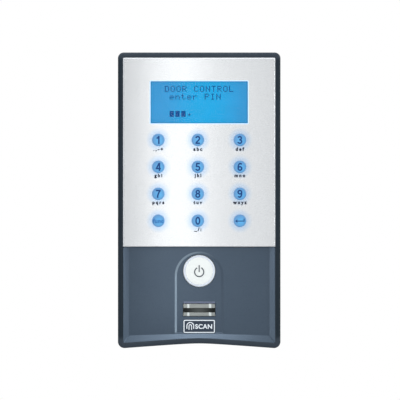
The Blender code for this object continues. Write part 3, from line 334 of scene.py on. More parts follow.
@material
def slate_panel(g):
    """Slate lacquer with a little metal in it.

    It has a painted highlight on the channel's left and upper edge, and a painted lighter band on the
    sloped sill above the sensor.
    """
    x, _, z = g.axes()
    # Painted highlight along the channel wall's left and upper edge, fading round the arch.
    over = g.maths("MAXIMUM", g.minus(z, CHANNEL_ARCH_Z), 0.0)
    away = g.length(x, over)
    wall = g.ramp(g.gap(away, CHANNEL_WALL_RADIUS), 0.45 * MM, 0.75 * MM, 1.0, 0.0)
    lean = g.maths("DIVIDE", g.minus(g.times(over, 0.75), x), away)
    turned = g.maths("POWER", g.ramp(lean, -0.6, 1.0), 2.0)
    turned = g.times(turned, g.ramp(over, 0.0, 3 * MM, 0.55, 1.0))
    foot = g.ramp(z, CHANNEL_FOOT_Z, CHANNEL_FOOT_Z + 0.6 * MM)
    painted_highlight = g.times(g.times(wall, turned), foot)
    fine = g.noise(0.3 * MM, 2.0)
    bare = g.mix(g.patches(14 * MM), (0.059, 0.087, 0.124), (0.063, 0.092, 0.129))
    colour = g.mix(painted_highlight, bare, (0.22, 0.285, 0.345))
    # Painted light: a lighter, bluer band on the sloped sill above the sensor.
    sill_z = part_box("sensor_rail_upper")[1].z + 0.75 * MM
    sill_half = 9.2 * MM
    inside = g.maths("LESS_THAN", g.maths("ABSOLUTE", x), sill_half)
    sill = g.times(g.ramp(g.gap(z, sill_z), 0.6 * MM, 0.75 * MM, 1.0, 0.0), inside)
    colour = g.mix(sill, colour, (0.105, 0.125, 0.185))
    speck = g.scaled(colour, g.ramp(fine, 0.35, 0.75, 0.96, 1.04))
    g.bump([(g.noise(5 * MM, 1.0), 0.004 * MM), (fine, 0.003 * MM)])
    return g.finish(Base_Color=speck, Roughness=g.spread(fine, 0.27, 0.33), Metallic=0.6)


@material
def slate_frame(g):
    """Slate plastic, with a painted highlight along its top and bottom bars."""
    z = g.axes()[2]
    # Painted highlight: the top and bottom bars are lighter, standing in for light on the rim's rounded
    # face.
    upper = g.ramp(z, 81.5 * MM, 84.5 * MM, smooth=True)
    lower = g.ramp(z, -79.0 * MM, -82.0 * MM, smooth=True)
    fine = g.noise(0.3 * MM, 2.0)
    colour = g.mix(g.maths("MAXIMUM", upper, lower), (0.0135, 0.022, 0.031), (0.034, 0.046, 0.061))
    shaded = g.scaled(colour, g.times(g.patches(14 * MM, 0.95, 1.05), g.ramp(fine, 0.35, 0.75, 0.95, 1.05)))
    rough = g.spread(fine, 0.34, 0.42)
    g.bump([(g.noise(5 * MM, 1.0), 0.006 * MM), (fine, 0.004 * MM)])
    return g.finish(Base_Color=shaded, Roughness=rough, Specular_IOR_Level=0.12)


@material
def steel(g):
    """Sheet metal with fine scratches drawn out along X."""
    lines = g.noise(0.25 * MM, 3.0, 0.7, stretch=(14.0, 1.0, 1.0))
    cloud = g.ramp(g.noise(9 * MM), 0.35, 0.65)
    colour = g.mix(g.times(cloud, g.spread(lines)), (0.47, 0.48, 0.50), (0.62, 0.63, 0.64))
    g.bump([(lines, 0.006 * MM)])
    return g.finish(Base_Color=colour, Roughness=g.spread(lines, 0.30, 0.46), Metallic=1.0)


@material
def sensor_metal(g):
    """Brushed rails, with a painted highlight over the raised contact rib near each end."""
    x = g.axes()[0]
    # Painted highlight: near-white bands over the ribs, standing in for their reflections; the ribs
    # themselves are real.
    away = g.gap(g.maths("ABSOLUTE", x), SENSOR_BAND_X)
    painted_glint = g.ramp(away, 0.25 * MM, 1.1 * MM, 1.0, 0.0, smooth=True)
    lines = g.noise(0.25 * MM, 3.0, 0.7, stretch=(18.0, 1.0, 1.0))
    plain = g.mix(g.spread(lines), (0.272, 0.292, 0.282), (0.328, 0.349, 0.338))
    colour = g.mix(painted_glint, plain, (0.76, 0.82, 0.81))
    g.bump([(lines, 0.004 * MM)])
    return g.finish(Base_Color=colour, Roughness=g.spread(lines, 0.30, 0.40), Metallic=0.9)


@material
def sensor_black(g):
    """The sensing strip: near black at its ends, lighter grey towards the middle."""
    x = g.axes()[0]
    low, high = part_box("sensor_strip")
    half = (high.x - low.x) / 2
    share = g.ramp(g.maths("ABSOLUTE", x), 0.0, half, 1.0, 0.0, smooth=True)
    colour = g.mix(share, (0.004, 0.006, 0.006), (0.062, 0.068, 0.066))
    half_pitch = 0.1 * MM
    lines = g.ramp(g.maths("PINGPONG", g.plus(x, half), half_pitch), 0.0, half_pitch, 0.95, 1.05)
    smear = g.noise(1.5 * MM, 3.0, 0.6, stretch=(1.0, 1.0, 2.5))
    rough = g.spread(smear, 0.16, 0.3)
    return g.finish(Base_Color=g.scaled(colour, lines), Roughness=rough, Specular_IOR_Level=0.12)


@material
def clear_window(g):
    """Thin clear pane: what is behind shows through, and its faces mirror a little."""
    smear = g.noise(6 * MM, 4.0, 0.6)
    clear = g.add("ShaderNodeBsdfTransparent", Color=(0.97, 0.985, 0.99))
    gloss = g.add("ShaderNodeBsdfGlossy", Roughness=g.spread(smear, 0.10, 0.16))
    facing = g.add("ShaderNodeLayerWeight", Blend=0.5).outputs["Facing"]
    share = g.ramp(g.maths("POWER", facing, 4.0), 0.0, 1.0, 0.006, 0.6)
    both = g.add("ShaderNodeMixShader", _0=share, _1=clear.outputs[0], _2=gloss.outputs[0])
    output = g.tree.nodes["Material Output"]
    g.tree.links.new(both.outputs[0], output.inputs["Surface"])
    g.tree.nodes.remove(g.shader)
    return g.material


@material
def board_green(g):
    """Solder mask with copper tracks under it."""
    x, _, z = g.axes()
    runs = []
    for pick, axis in enumerate((x, z)):
        lane = g.maths("PINGPONG", g.plus(axis, 0.1), 0.6 * MM)
        on = g.ramp(lane, 0.42 * MM, 0.48 * MM)
        patch = g.add("ShaderNodeTexVoronoi", Scale=1 / (9 * MM), Vector=g.place).outputs["Color"]
        shades = g.add("ShaderNodeSeparateXYZ", _0=patch).outputs
        runs.append(g.times(on, g.maths("GREATER_THAN", shades[pick], 0.6)))
    track = g.maths("MAXIMUM", *runs)
    colour = g.mix(track, (0.008, 0.085, 0.035), (0.030, 0.190, 0.075))
    g.bump([(track, 0.03 * MM)])
    return g.finish(Base_Color=colour, Roughness=g.spread(g.noise(2 * MM), 0.25, 0.4))


@material
def cell_jacket(g):
    """Battery jacket: dark sleeve with a copper band at the contact end, and bare steel ends."""
    z = g.axes()[2]
    low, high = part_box("battery_cell_1")
    share = g.ramp(z, low.z, high.z)
    band = g.maths("GREATER_THAN", share, 0.72)
    steel = g.maths("GREATER_THAN", g.gap(share, 0.5), 0.485)
    colour = g.mix(band, (0.018, 0.020, 0.024), (0.48, 0.20, 0.06))
    colour = g.mix(steel, colour, (0.62, 0.62, 0.62))
    metal = g.maths("MAXIMUM", steel, g.times(band, 0.7))
    rough = g.spread(g.noise(3 * MM), 0.22, 0.36)
    return g.finish(Base_Color=colour, Metallic=metal, Roughness=rough)


@material
def flex_amber(g):
    """Amber film with copper conductors side by side."""
    x = g.axes()[0]
    lines = g.ramp(g.maths("PINGPONG", g.plus(x, 0.1), 0.5 * MM), 0.22 * MM, 0.28 * MM)
    colour = g.mix(lines, (0.34, 0.14, 0.02), (0.62, 0.30, 0.08))
    g.bump([(lines, 0.02 * MM)])
    return g.finish(Base_Color=colour, Roughness=g.spread(g.noise(1 * MM), 0.25, 0.4))


MATERIALS["badge_enamel"] = moulded(
    "badge_enamel", ((0.022, 0.036, 0.058), (0.026, 0.042, 0.065)), 0.2 * MM, (0.30, 0.38), 0.002 * MM,
    Specular_IOR_Level=0.3,
)

# Plain plastics and rubbers: two tones, size of the grain in mm, roughness, and its depth in mm.
MOULDED = {
    "slate_rear": ((0.021, 0.030, 0.041), (0.026, 0.036, 0.048), 0.5, (0.50, 0.66), 0.02),
    "silicone": ((0.58, 0.62, 0.64), (0.64, 0.68, 0.70), 0.4, (0.6, 0.75), 0.01),
    "seal_rubber": ((0.010, 0.010, 0.011), (0.016, 0.016, 0.017), 0.3, (0.7, 0.85), 0.02),
    "chip_black": ((0.012, 0.012, 0.013), (0.018, 0.018, 0.019), 0.15, (0.45, 0.6), 0.008),
    "connector_ivory": ((0.66, 0.60, 0.46), (0.72, 0.66, 0.52), 0.3, (0.42, 0.55), 0.004),
    "backlight_white": ((0.76, 0.78, 0.80), (0.82, 0.84, 0.86), 0.5, (0.5, 0.65), 0.004),
    "lead_red": ((0.42, 0.012, 0.008), (0.52, 0.018, 0.012), 0.4, (0.4, 0.55), 0.01),
    "lead_black": ((0.010, 0.010, 0.010), (0.018, 0.018, 0.018), 0.4, (0.4, 0.55), 0.01),
}
for name, (first, second, grain, rough, depth) in MOULDED.items():
    MATERIALS[name] = moulded(name, (first, second), grain * MM, rough, depth * MM)


def ink(name, tone, glow, gloss):
    """Printed ink or lacquer in two near tones; glow makes it emit a little, for a lamp behind it and for
    painted light.
    """
    tones = (tone, tuple(1.1 * c for c in tone))
    settings = {"Specular_IOR_Level": gloss}
    if glow:
        settings.update(Emission_Color=tone, Emission_Strength=glow)
    return moulded(name, tones, 0.2 * MM, (0.4, 0.5), 0.002 * MM, patch=3 * MM, **settings)


# Inks: the tone, how strongly it is lit, and its gloss.
INKS = {
    "digit_ink": (linear(26, 64, 122), 0.0, 0.2),
    "faint_ink": (linear(48, 110, 176), 0.0, 0.2),
    "label_ink": (linear(14, 20, 42), 0.0, 0.1),
    "icon_ink": (linear(78, 84, 92), 0.0, 0.3),
    "crystal_dark": (linear(24, 58, 118), 0.3, 0.0),
    "badge_white": ((0.82, 0.88, 0.93), 0.0, 0.5),
    # Painted highlight: the plate's near-white edge, glowing a little though it is no lamp.
    "painted_edge_highlight": ((0.88, 0.91, 0.94), 0.07, 0.1),
    # Painted glow: the pale ring round the window, lit as if by the display.
    "edge_glow": (linear(188, 216, 242), 0.28, 0.2),
}
PRINTS = {name: ink(name, *values) for name, values in INKS.items()}


# ---- outlines and profiles ----

def sweep(x, z, across, tall, start_deg, end_deg, steps=22):
    """Points along part of an ellipse."""
    angles = [math.radians(start_deg + (end_deg - start_deg) * i / steps) for i in range(steps + 1)]
    return [(x + across * math.cos(a), z + tall * math.sin(a)) for a in angles]


def arc(centre, radius, start_deg, end_deg, steps=CORNER_STEPS):
    return sweep(*centre, radius, radius, start_deg, end_deg, steps)


def filleted(corners, closed=False, steps=6):
    """A line of (u, v) points with each corner (u, v, radius) rounded off."""
    points = []
    count = len(corners)
    for i, (u, v, radius) in enumerate(corners):
        here = Vector((u, v))
        if radius == 0 or (not closed and i in (0, count - 1)):
            points.append((u, v))
            continue
        before = (Vector(corners[i - 1][:2]) - here).normalized()
        after = (Vector(corners[(i + 1) % count][:2]) - here).normalized()
        opening = before.angle(after)
        reach = radius / math.tan(opening / 2)
        centre = here + (before + after).normalized() * (radius / math.sin(opening / 2))
        start = here + before * reach - centre
        end = here + after * reach - centre
        bend = start.angle_signed(end)
        for step in range(steps + 1):
            turned = start.copy()
            turned.rotate(Matrix.Rotation(-bend * step / steps, 2))
            points.append(tuple(centre + turned))
    return points


def rounded_rectangle(low, high, inset, radius, steps):
    """A box's outline seen from the front, moved inwards, with its corners rounded off."""
    left, right = low.x + inset + radius, high.x - inset - radius
    foot, top = low.z + inset + radius, high.z - inset - radius
    points = []
    for turn, centre in enumerate(((right, top), (left, top), (left, foot), (right, foot))):
        points += arc(centre, radius, 90 * turn, 90 * turn + 90, steps)
    return points


def body_outline(inset):
    """The body's outline moved inwards: straight sides, and a bottom edge hollowed about its middle."""
    half = FRAME_HIGH.x - inset
    top = FRAME_HIGH.z - inset
    top_corner = max(TOP_CORNER_RADIUS - inset, SMALLEST_CORNER)
    bottom_corner = max(BOTTOM_CORNER_RADIUS - inset, SMALLEST_CORNER)

    def fall(x):
        return BOTTOM_SLOPE * (math.hypot(x, BOTTOM_BEND) - BOTTOM_BEND)

    def corner(half, radius):
        """Lean of the bottom edge where it meets a corner, and the corner's centre below the crest."""
        x = half - radius
        lean = math.atan(BOTTOM_SLOPE * x / math.hypot(x, BOTTOM_BEND))
        meet = x - radius * math.sin(lean)
        return lean, meet, radius * math.cos(lean) - fall(meet)

    crest = FRAME_LOW.z + BOTTOM_CORNER_RADIUS - corner(FRAME_HIGH.x, BOTTOM_CORNER_RADIUS)[2] + inset
    lean, meet, drop = corner(half, bottom_corner)
    lean_deg = math.degrees(lean)
    corner_x, corner_z = half - bottom_corner, crest + drop
    steps = [meet * (2 * i / HOLLOW_STEPS - 1) for i in range(1, HOLLOW_STEPS)]
    return (
        arc((half - top_corner, top - top_corner), top_corner, 0, 90)
        + arc((top_corner - half, top - top_corner), top_corner, 90, 180)
        + arc((-corner_x, corner_z), bottom_corner, 180, 270 + lean_deg)
        + [(x, crest - fall(x)) for x in steps]
        + arc((corner_x, corner_z), bottom_corner, 270 - lean_deg, 360)
    )


# ---- pieces ----

def add_piece(name, bm, body, look, replaces=(), origin=(0.0, 0.0, 0.0), smooth_deg=40):
    """Turns a bmesh drawn in the shared frame into a piece that rides on a body, or on none yet.

    Its look, from MATERIALS or from PRINTS, becomes the mesh's material.
    """
    bmesh.ops.recalc_face_normals(bm, faces=bm.faces)
    bmesh.ops.translate(bm, verts=bm.verts, vec=-Vector(origin))
    mesh = bpy.data.meshes.new(name)
    bm.to_mesh(mesh)
    bm.free()
    mesh.shade_smooth()
    mesh.set_sharp_from_angle(angle=math.radians(smooth_deg))
    mesh.materials.append(MATERIALS[look] if look in MATERIALS else PRINTS[look])
    obj = bpy.data.objects.new(name, mesh)
    obj.location = origin
    scene.collection.objects.link(obj)
    if body:
        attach(obj, body)
    if replaces:
        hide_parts(*replaces)
    return obj


def soften_edges(obj, width, segments=2, from_deg=25):
    """Rounds off the edges where the faces turn by more than from_deg."""
    bevel = obj.modifiers.new("edges", "BEVEL")
    bevel.width = width
    bevel.segments = segments
    bevel.limit_method = "ANGLE"
    bevel.angle_limit = math.radians(from_deg)
    bevel.use_clamp_overlap = True
    bevel.miter_outer = "MITER_ARC"
    obj.modifiers.new("normals", "WEIGHTED_NORMAL").keep_sharp = True


def is_thin(face):
    """True for a long narrow face that bends round a hole."""
    spans = sorted(max(v.co[k] for v in face.verts) - min(v.co[k] for v in face.verts) for k in range(3))
    return len(face.verts) > 6 and face.calc_area() < 0.3 * spans[1] * spans[2]


def refined(node, look, width, body=TERMINAL, reshape=tuple, flat_deg=1.0):
    """A CAD part's own shape, with its triangles joined into flat faces and its edges softened."""
    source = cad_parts[node].data
    points = [reshape(v.co) for v in source.vertices]
    mesh = bpy.data.meshes.new(node)
    mesh.from_pydata(points, [], [tuple(p.vertices) for p in source.polygons])
    bm = bmesh.new()
    bm.from_mesh(mesh)
    bmesh.ops.remove_doubles(bm, verts=bm.verts, dist=0.002 * MM)
    if flat_deg:
        flat = math.radians(flat_deg)
        bmesh.ops.dissolve_limit(
            bm, angle_limit=flat, verts=bm.verts, edges=bm.edges, use_dissolve_boundaries=False
        )
        bmesh.ops.connect_verts_concave(bm, faces=[f for f in bm.faces if is_thin(f)])
    obj = add_piece(node + "_finish", bm, body, look, (node,))
    if width:
        soften_edges(obj, width)


def close_to_keys(co):
    """Moves the walls of the key holes in, close to the caps, and the outer edge out to the frame."""
    for _, centre in KEY_CENTRES:
        across, up = co.x - centre.x, co.z - centre.z
        away = math.hypot(across, up)
        if away < KEY_RADIUS + 0.5 * MM:
            share = KEY_HOLE_RADIUS / away
            return (centre.x + across * share, co.y, centre.z + up * share)
    return out_to_frame(co)


def out_to_frame(co):
    """Moves a plate's outer edge out to the frame, all but a hairline."""
    reach = 0.3 * MM
    x, y, z = co
    if abs(x) > INSIDE.x - 1.5 * reach:
        x += math.copysign(reach - HAIRLINE, x)
    if z > INSIDE.z - 1.5 * reach:
        z += reach - HAIRLINE
    crest = FRAME_LOW.z + RIM_WIDTH + BOTTOM_SLOPE * (
        math.hypot(INSIDE.x, BOTTOM_BEND) - math.hypot(x, BOTTOM_BEND)
    )
    if z < crest + 1.7 * reach:
        z -= reach - HAIRLINE
    return (x, y, z)


def bridge(bm, near, far):
    """Joins two rings of as many points with four-sided faces."""
    for i in range(len(near)):
        j = (i + 1) % len(near)
        bm.faces.new((near[i], near[j], far[j], far[i]))


def ring_loft(bm, sections):
    """Joins closed outlines, each a (list of (x, z), y), into a ring that closes on itself."""
    layers = [[bm.verts.new((x, y, z)) for x, z in outline] for outline, y in sections]
    for near, far in zip(layers, layers[1:] + layers[:1]):
        bridge(bm, near, far)


def slab(bm, outline, front, back):
    """A flat plate with a closed outline of (x, z), between two depths."""
    near, far = ([bm.verts.new((x, y, z)) for x, z in outline] for y in (front, back))
    bm.faces.new(near)
    bm.faces.new(far)
    bridge(bm, near, far)


def lathe(profile, centre, steps):
    """A bmesh of a profile of (radius, y) turned about the line along Y through centre (x, z)."""
    bm = bmesh.new()
    rings = []
    for radius, y in profile:
        circle = arc(centre, radius, 0, 360, steps)[:-1] if radius > 1e-7 else [centre]
        rings.append([bm.verts.new((x, y, z)) for x, z in circle])
    for near, far in zip(rings, rings[1:]):
        for i in range(steps):
            j = (i + 1) % steps
            corners = [near[i % len(near)], near[j % len(near)], far[j % len(far)], far[i % len(far)]]
            bm.faces.new(list(dict.fromkeys(corners)))
    return bm


def stroke(bm, points, width, front, back):
    """A flat line of even width along points (x, z), between two depths.

    It closes on itself where its last point is its first one again.
    """
    closed = math.dist(points[0], points[-1]) < 1e-7
    if closed:
        points = points[:-1]
    count = len(points)
    rings = []
    for i, point in enumerate(points):
        here = Vector(point)
        before = here - Vector(points[i - 1]) if closed or i else None
        after = Vector(points[(i + 1) % count]) - here if closed or i < count - 1 else None
        before, after = (before or after).normalized(), (after or before).normalized()
        sides = [Vector((-way.y, way.x)) for way in (before, after)]
        reach = (sides[0] + sides[1]) / (1 + sides[0].dot(sides[1])) * (width / 2)
        left, right = here + reach, here - reach
        corners = ((left, front), (right, front), (right, back), (left, back))
        rings.append([bm.verts.new((p.x, y, p.y)) for p, y in corners])
    pairs = list(zip(rings, rings[1:]))
    if closed:
        pairs.append((rings[-1], rings[0]))
    else:
        bm.faces.new(rings[0])
        bm.faces.new(rings[-1])
    for near, far in pairs:
        bridge(bm, near, far)


def make_frame():
    """The frame as one section run round the body: crowned rim, ledge for the plates, tongue and skirt."""
    front = FRAME_LOW.y
    shoulder = front + 0.75 * MM
    skirt_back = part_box("perimeter_seal")[0].y - 0.3 * MM
    tongue_back = skirt_back + 3.5 * MM
    ledge_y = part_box("keypad_fascia")[1].y + 1.7 * MM
    inner, ledge = RIM_WIDTH, RIM_WIDTH + 2.0 * MM
    profile = filleted(
        (
            (0.0, skirt_back, 0.15 * MM),
            (0.0, shoulder, 0.35 * MM),
            (1.25 * MM, front, 1.6 * MM),
            (inner - 0.45 * MM, front + 0.22 * MM, 0.5 * MM),
            (inner, shoulder, 0.3 * MM),
            (inner, ledge_y, 0.0),
            (ledge, ledge_y, 0.2 * MM),
            (ledge, tongue_back, 0.3 * MM),
            (inner, tongue_back, 0.3 * MM),
            (inner, skirt_back, 0.0),
        ),
        closed=True,
    )
    bm = bmesh.new()
    ring_loft(bm, [(body_outline(inset), y) for inset, y in profile])
    add_piece("frame_rim", bm, TERMINAL, "slate_frame", ("front_frame",))


def lettering(name, text, height, centre, front, look, body, bold, spacing=1.0, facing=1):
    """Rounded raised letters that stand on a front; height is a capital's, and centre is (x, z).

    With facing -1 they stand on a back and read from behind.
    """
    curve = bpy.data.curves.new(name, "FONT")
    curve.body = text
    curve.size = height / CAPITAL_SHARE
    curve.space_character = spacing
    curve.bevel_depth = bold
    curve.bevel_resolution = 2
    drawn = bpy.data.objects.new(name, curve)
    scene.collection.objects.link(drawn)
    bpy.context.view_layer.update()
    bm = bmesh.new()
    ready = drawn.evaluated_get(bpy.context.evaluated_depsgraph_get())
    bm.from_mesh(bpy.data.meshes.new_from_object(ready))
    bpy.data.objects.remove(drawn)
    bmesh.ops.remove_doubles(bm, verts=bm.verts, dist=1e-7)
    xs = [v.co.x for v in bm.verts]
    middle = (min(xs) + max(xs)) / 2
    for v in bm.verts:
        across = facing * (v.co.x - middle)
        v.co = (centre[0] + across, front - facing * v.co.z, centre[1] + v.co.y - height / 2)
    bmesh.ops.reverse_faces(bm, faces=bm.faces)
    add_piece(name, bm, body, look, smooth_deg=60)


# Each digit's strokes, in units of its own height.
DIGIT_MIDDLE = 0.28
DIGITS = {
    "0": [sweep(0.28, 0.5, 0.19, 0.413, 0, 360, 40)],
    "1": [[(0.335, 0.0), (0.335, 1.0)], [(0.09, 0.70), (0.20, 0.74), (0.28, 0.82), (0.32, 0.93)]],
    "2": [
        sweep(0.275, 0.70, 0.19, 0.213, 172, -25)
        + [(0.37, 0.47), (0.26, 0.35), (0.165, 0.23), (0.125, 0.14), (0.115, 0.06)],
        [(0.03, 0.0875), (0.51, 0.0875)],
    ],
    "3": [
        sweep(0.265, 0.715, 0.17, 0.198, 165, -80) + [(0.20, 0.53)],
        [(0.20, 0.53)] + sweep(0.265, 0.302, 0.195, 0.215, 78, -165),
    ],
    "4": [[(0.40, 0.0), (0.40, 1.0)], [(0.37, 0.96), (0.09, 0.32)], [(0.0, 0.29), (0.55, 0.29)]],
    "5": [
        [(0.49, 0.9125), (0.17, 0.9125), (0.125, 0.46)],
        sweep(0.27, 0.325, 0.20, 0.238, 128, -162),
    ],
    "6": [
        sweep(0.285, 0.30, 0.188, 0.213, 0, 360, 32),
        sweep(0.315, 0.47, 0.218, 0.443, 48, 205),
    ],
    "7": [
        [(0.03, 0.9125), (0.53, 0.9125)],
        [(0.475, 0.90), (0.35, 0.69), (0.265, 0.45), (0.215, 0.22), (0.20, 0.0)],
    ],
    "8": [
        sweep(0.28, 0.722, 0.165, 0.188, 0, 360, 32),
        sweep(0.28, 0.302, 0.195, 0.215, 0, 360, 32),
    ],
    "9": [
        sweep(0.275, 0.70, 0.188, 0.213, 0, 360, 32),
        sweep(0.245, 0.53, 0.218, 0.443, 228, 385),
    ],
}
# The return arrow's shaft and head, in millimetres from its middle.
ARROW = (((-1.6, 0.0), (2.45, 0.0), (2.45, 1.45)), ((-2.8, 0.0), (-1.5, 1.0), (-1.5, -1.0)))
LEGENDS = dict(
    zip("1234567890", (".,-+", "abc", "def", "ghi", "jkl", "mno", "pqrs", "tuv", "wxyz", "_/:"))
)


def make_keys():
    """Crowned translucent caps with their legends, and the small letters printed below each."""
    plate_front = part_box("keypad_fascia")[0].y
    for node, centre in KEY_CENTRES:
        body = node + "_body"
        low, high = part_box(node)
        front = low.y
        flange_back = high.y
        flange_front = flange_back - KEY_FLANGE_THICKNESS
        crown_radius, crown = KEY_RADIUS * 0.8, 0.06 * MM
        profile = [(crown_radius * i / 4, front + crown * (i / 4) ** 2) for i in range(4)]
        profile += filleted(
            (
                (crown_radius, front + crown, 0.0),
                (KEY_RADIUS, front + 0.10 * MM, 0.42 * MM),
                (KEY_RADIUS, flange_front, 0.0),
                (KEY_FLANGE_RADIUS, flange_front, 0.15 * MM),
                (KEY_FLANGE_RADIUS, flange_back, 0.15 * MM),
                (0.0, flange_back, 0.0),
            )
        )
        bm = lathe(profile, (centre.x, centre.z), KEY_STEPS)
        add_piece(node + "_cap", bm, body, "key_blue", (node,), origin=(centre.x, 0.0, centre.z))
        sign = node.split("_")[1]
        if sign in DIGITS:
            bm = bmesh.new()
            for i, points in enumerate(DIGITS[sign]):
                placed = [
                    (centre.x + (u - DIGIT_MIDDLE) * DIGIT_WIDTH, centre.z + (v - 0.5) * DIGIT_HEIGHT)
                    for u, v in points
                ]
                raised = front - (4 + i) * 0.01 * MM
                stroke(bm, placed, DIGIT_STROKE, raised, front + 0.1 * MM)
            add_piece(node + "_digit", bm, body, "digit_ink")
        elif sign == "func":
            lettering(
                node + "_word", sign, 2.45 * MM, (centre.x, centre.z), front, "faint_ink", body,
                bold=0.12 * MM, spacing=1.1,
            )
        else:
            bm = bmesh.new()
            middle_z = centre.z - 0.2 * MM
            shaft, head = ([(centre.x + x * MM, middle_z + z * MM) for x, z in line] for line in ARROW)
            stroke(bm, shaft, 0.5 * MM, front - 2 * SKIN, front + 0.1 * MM)
            slab(bm, head, front - 3 * SKIN, front + 0.1 * MM)
            add_piece(node + "_arrow", bm, body, "digit_ink")
        if sign in LEGENDS:
            drop = TOP_ROW_LABEL_DROP if sign in TOP_ROW else LABEL_DROP
            lettering(
                node + "_letters", LEGENDS[sign], LABEL_HEIGHT, (centre.x, centre.z - drop), plate_front,
                "label_ink", TERMINAL, bold=0.15 * MM, spacing=1.5,
            )


def cell_and_hole(x, z, centre, radius):
    """A rectangle's outline and a round hole's, point for point at the same angles from the centre."""
    corners = [math.atan2(v - centre.z, u - centre.x) % (2 * math.pi) for u in x for v in z]
    angles = sorted([2 * math.pi * i / DOME_STEPS for i in range(DOME_STEPS)] + corners)
    cell, hole = [], []
    for angle in angles:
        across, up = math.cos(angle), math.sin(angle)
        reaches = []
        for way, limits, middle in ((across, x, centre.x), (up, z, centre.z)):
            if abs(way) > 1e-9:
                reaches.append((limits[1 if way > 0 else 0] - middle) / way)
        reach = min(reaches)
        cell.append((centre.x + reach * across, centre.z + reach * up))
        hole.append((centre.x + radius * across, centre.z + radius * up))
    return cell, hole


def make_mat():
    """Silicone sheet, and a dome under each key."""
    low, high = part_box("keypad_mat")
    thick = 0.8 * MM
    crown, back = low.y, high.y
    sheet_front = back - thick
    foot = 4.3 * MM

    def bounds_between(first, values, last):
        values = sorted(set(round(v, 6) for v in values))
        middles = [(a + b) / 2 for a, b in zip(values, values[1:])]
        return list(zip([first] + middles, middles + [last]))

    columns = bounds_between(low.x, [c.x for _, c in KEY_CENTRES], high.x)
    rows = bounds_between(low.z, [c.z for _, c in KEY_CENTRES], high.z)
    bm = bmesh.new()
    for _, centre in KEY_CENTRES:
        x = next(limits for limits in columns if limits[0] < centre.x < limits[1])
        z = next(limits for limits in rows if limits[0] < centre.z < limits[1])
        cell, hole = cell_and_hole(x, z, centre, foot)
        ring_loft(bm, [(cell, back), (cell, sheet_front), (hole, sheet_front), (hole, back)])
    bmesh.ops.remove_doubles(bm, verts=bm.verts, dist=0.002 * MM)
    crowded = {edge for edge in bm.edges if len(edge.link_faces) > 2}
    between_cells = [face for face in bm.faces if len(crowded.intersection(face.edges)) > 1]
    bmesh.ops.delete(bm, geom=between_cells, context="FACES_ONLY")
    add_piece("mat_sheet", bm, TERMINAL, "silicone", ("keypad_mat",))
    for node, centre in KEY_CENTRES:
        profile = filleted(
            (
                (0.0, crown, 0.0),
                (2.5 * MM, crown, 0.25 * MM),
                (4.0 * MM, sheet_front, 0.2 * MM),
                (foot, sheet_front, 0.0),
                (foot, back, 0.0),
                (3.3 * MM, back, 0.1 * MM),
                (1.6 * MM, crown + thick, 0.2 * MM),
                (0.0, crown + thick, 0.0),
            ),
            steps=4,
        )
        bm = lathe(profile, (centre.x, centre.z), DOME_STEPS)
        dome = add_piece(node + "_dome", bm, None, "silicone")
        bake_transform(dome)


def make_button():
    """White dished cap with a groove inside its rim, and the power sign."""
    low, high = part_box("on_button_cap")
    x, _, z = (low + high) / 2
    front, back = low.y, high.y
    flange_radius, flange_front = (high.x - low.x) / 2, back - 0.6 * MM
    radius = flange_radius - BUTTON_FLANGE_WIDTH
    groove = radius * 0.87
    hollow_radius, hollow_floor = radius - 1.7 * MM, front + 1.4 * MM
    stem_radius, stem_back = 2.0 * MM, front + 2.4 * MM
    profile = [(0.0, front + 0.12 * MM), (groove * 0.5, front + 0.10 * MM)]
    profile += filleted(
        (
            (groove * 0.8, front + 0.05 * MM, 0.0),
            (groove - 0.25 * MM, front + 0.02 * MM, 0.1 * MM),
            (groove - 0.1 * MM, front + 0.22 * MM, 0.06 * MM),
            (groove + 0.1 * MM, front + 0.22 * MM, 0.06 * MM),
            (groove + 0.22 * MM, front, 0.1 * MM),
            (radius, front + 0.05 * MM, 0.75 * MM),
            (radius, flange_front, 0.0),
            (flange_radius, flange_front, 0.1 * MM),
            (flange_radius, back, 0.1 * MM),
            (hollow_radius, back, 0.1 * MM),
            (hollow_radius, hollow_floor, 0.3 * MM),
            (stem_radius, hollow_floor, 0.2 * MM),
            (stem_radius, stem_back, 0.1 * MM),
            (0.0, stem_back, 0.0),
        ),
        steps=5,
    )
    bm = lathe(profile, (x, z), BUTTON_STEPS)
    add_piece("power_button_cap", bm, "power_button", "button_white", ("on_button_cap",), (x, 0.0, z))
    centre_z = z - 0.6 * MM
    width = 0.62 * MM
    ring = 2.98 * MM - width / 2
    bm = bmesh.new()
    half_opening = 26
    circle = arc((x, centre_z), ring, 90 + half_opening, 450 - half_opening, 60)
    bar = [(x, centre_z), (x, centre_z + 4.05 * MM)]
    for line in (circle, bar):
        stroke(bm, line, width, front - SKIN, front + 0.2 * MM)
    add_piece("power_sign", bm, "power_button", "icon_ink")


# Each character's seven rows of dots from the top, as five binary digits.
DOT_CHARACTERS = {
    "D": (30, 17, 17, 17, 17, 17, 30),
    "O": (14, 17, 17, 17, 17, 17, 14),
    "R": (30, 17, 17, 30, 20, 18, 17),
    "C": (14, 17, 16, 16, 16, 17, 14),
    "N": (17, 17, 25, 21, 19, 17, 17),
    "T": (31, 4, 4, 4, 4, 4, 4),
    "L": (16, 16, 16, 16, 16, 16, 31),
    "P": (30, 17, 17, 30, 16, 16, 16),
    "I": (14, 4, 4, 4, 4, 4, 14),
    "e": (0, 0, 14, 17, 31, 16, 14),
    "n": (0, 0, 22, 25, 17, 17, 17),
    "t": (8, 8, 28, 8, 8, 9, 6),
    "r": (0, 0, 22, 25, 16, 16, 16),
    "#": (31,) * 7,
    ".": (0, 0, 0, 4, 14, 4, 0),
    " ": (0,) * 7,
}
# Each row: its text, and where its first character's upper left corner is, in millimetres.
DISPLAY_ROWS = (("DOOR CONTROL", -20.1, 66.9), ("enter PIN", -17.3, 62.3), ("###.", -17.3, 52.25))
DOT_PITCH = 0.5 * MM
DOT_SIZE = 0.47 * MM
CHARACTER_PITCH = 3.42 * MM


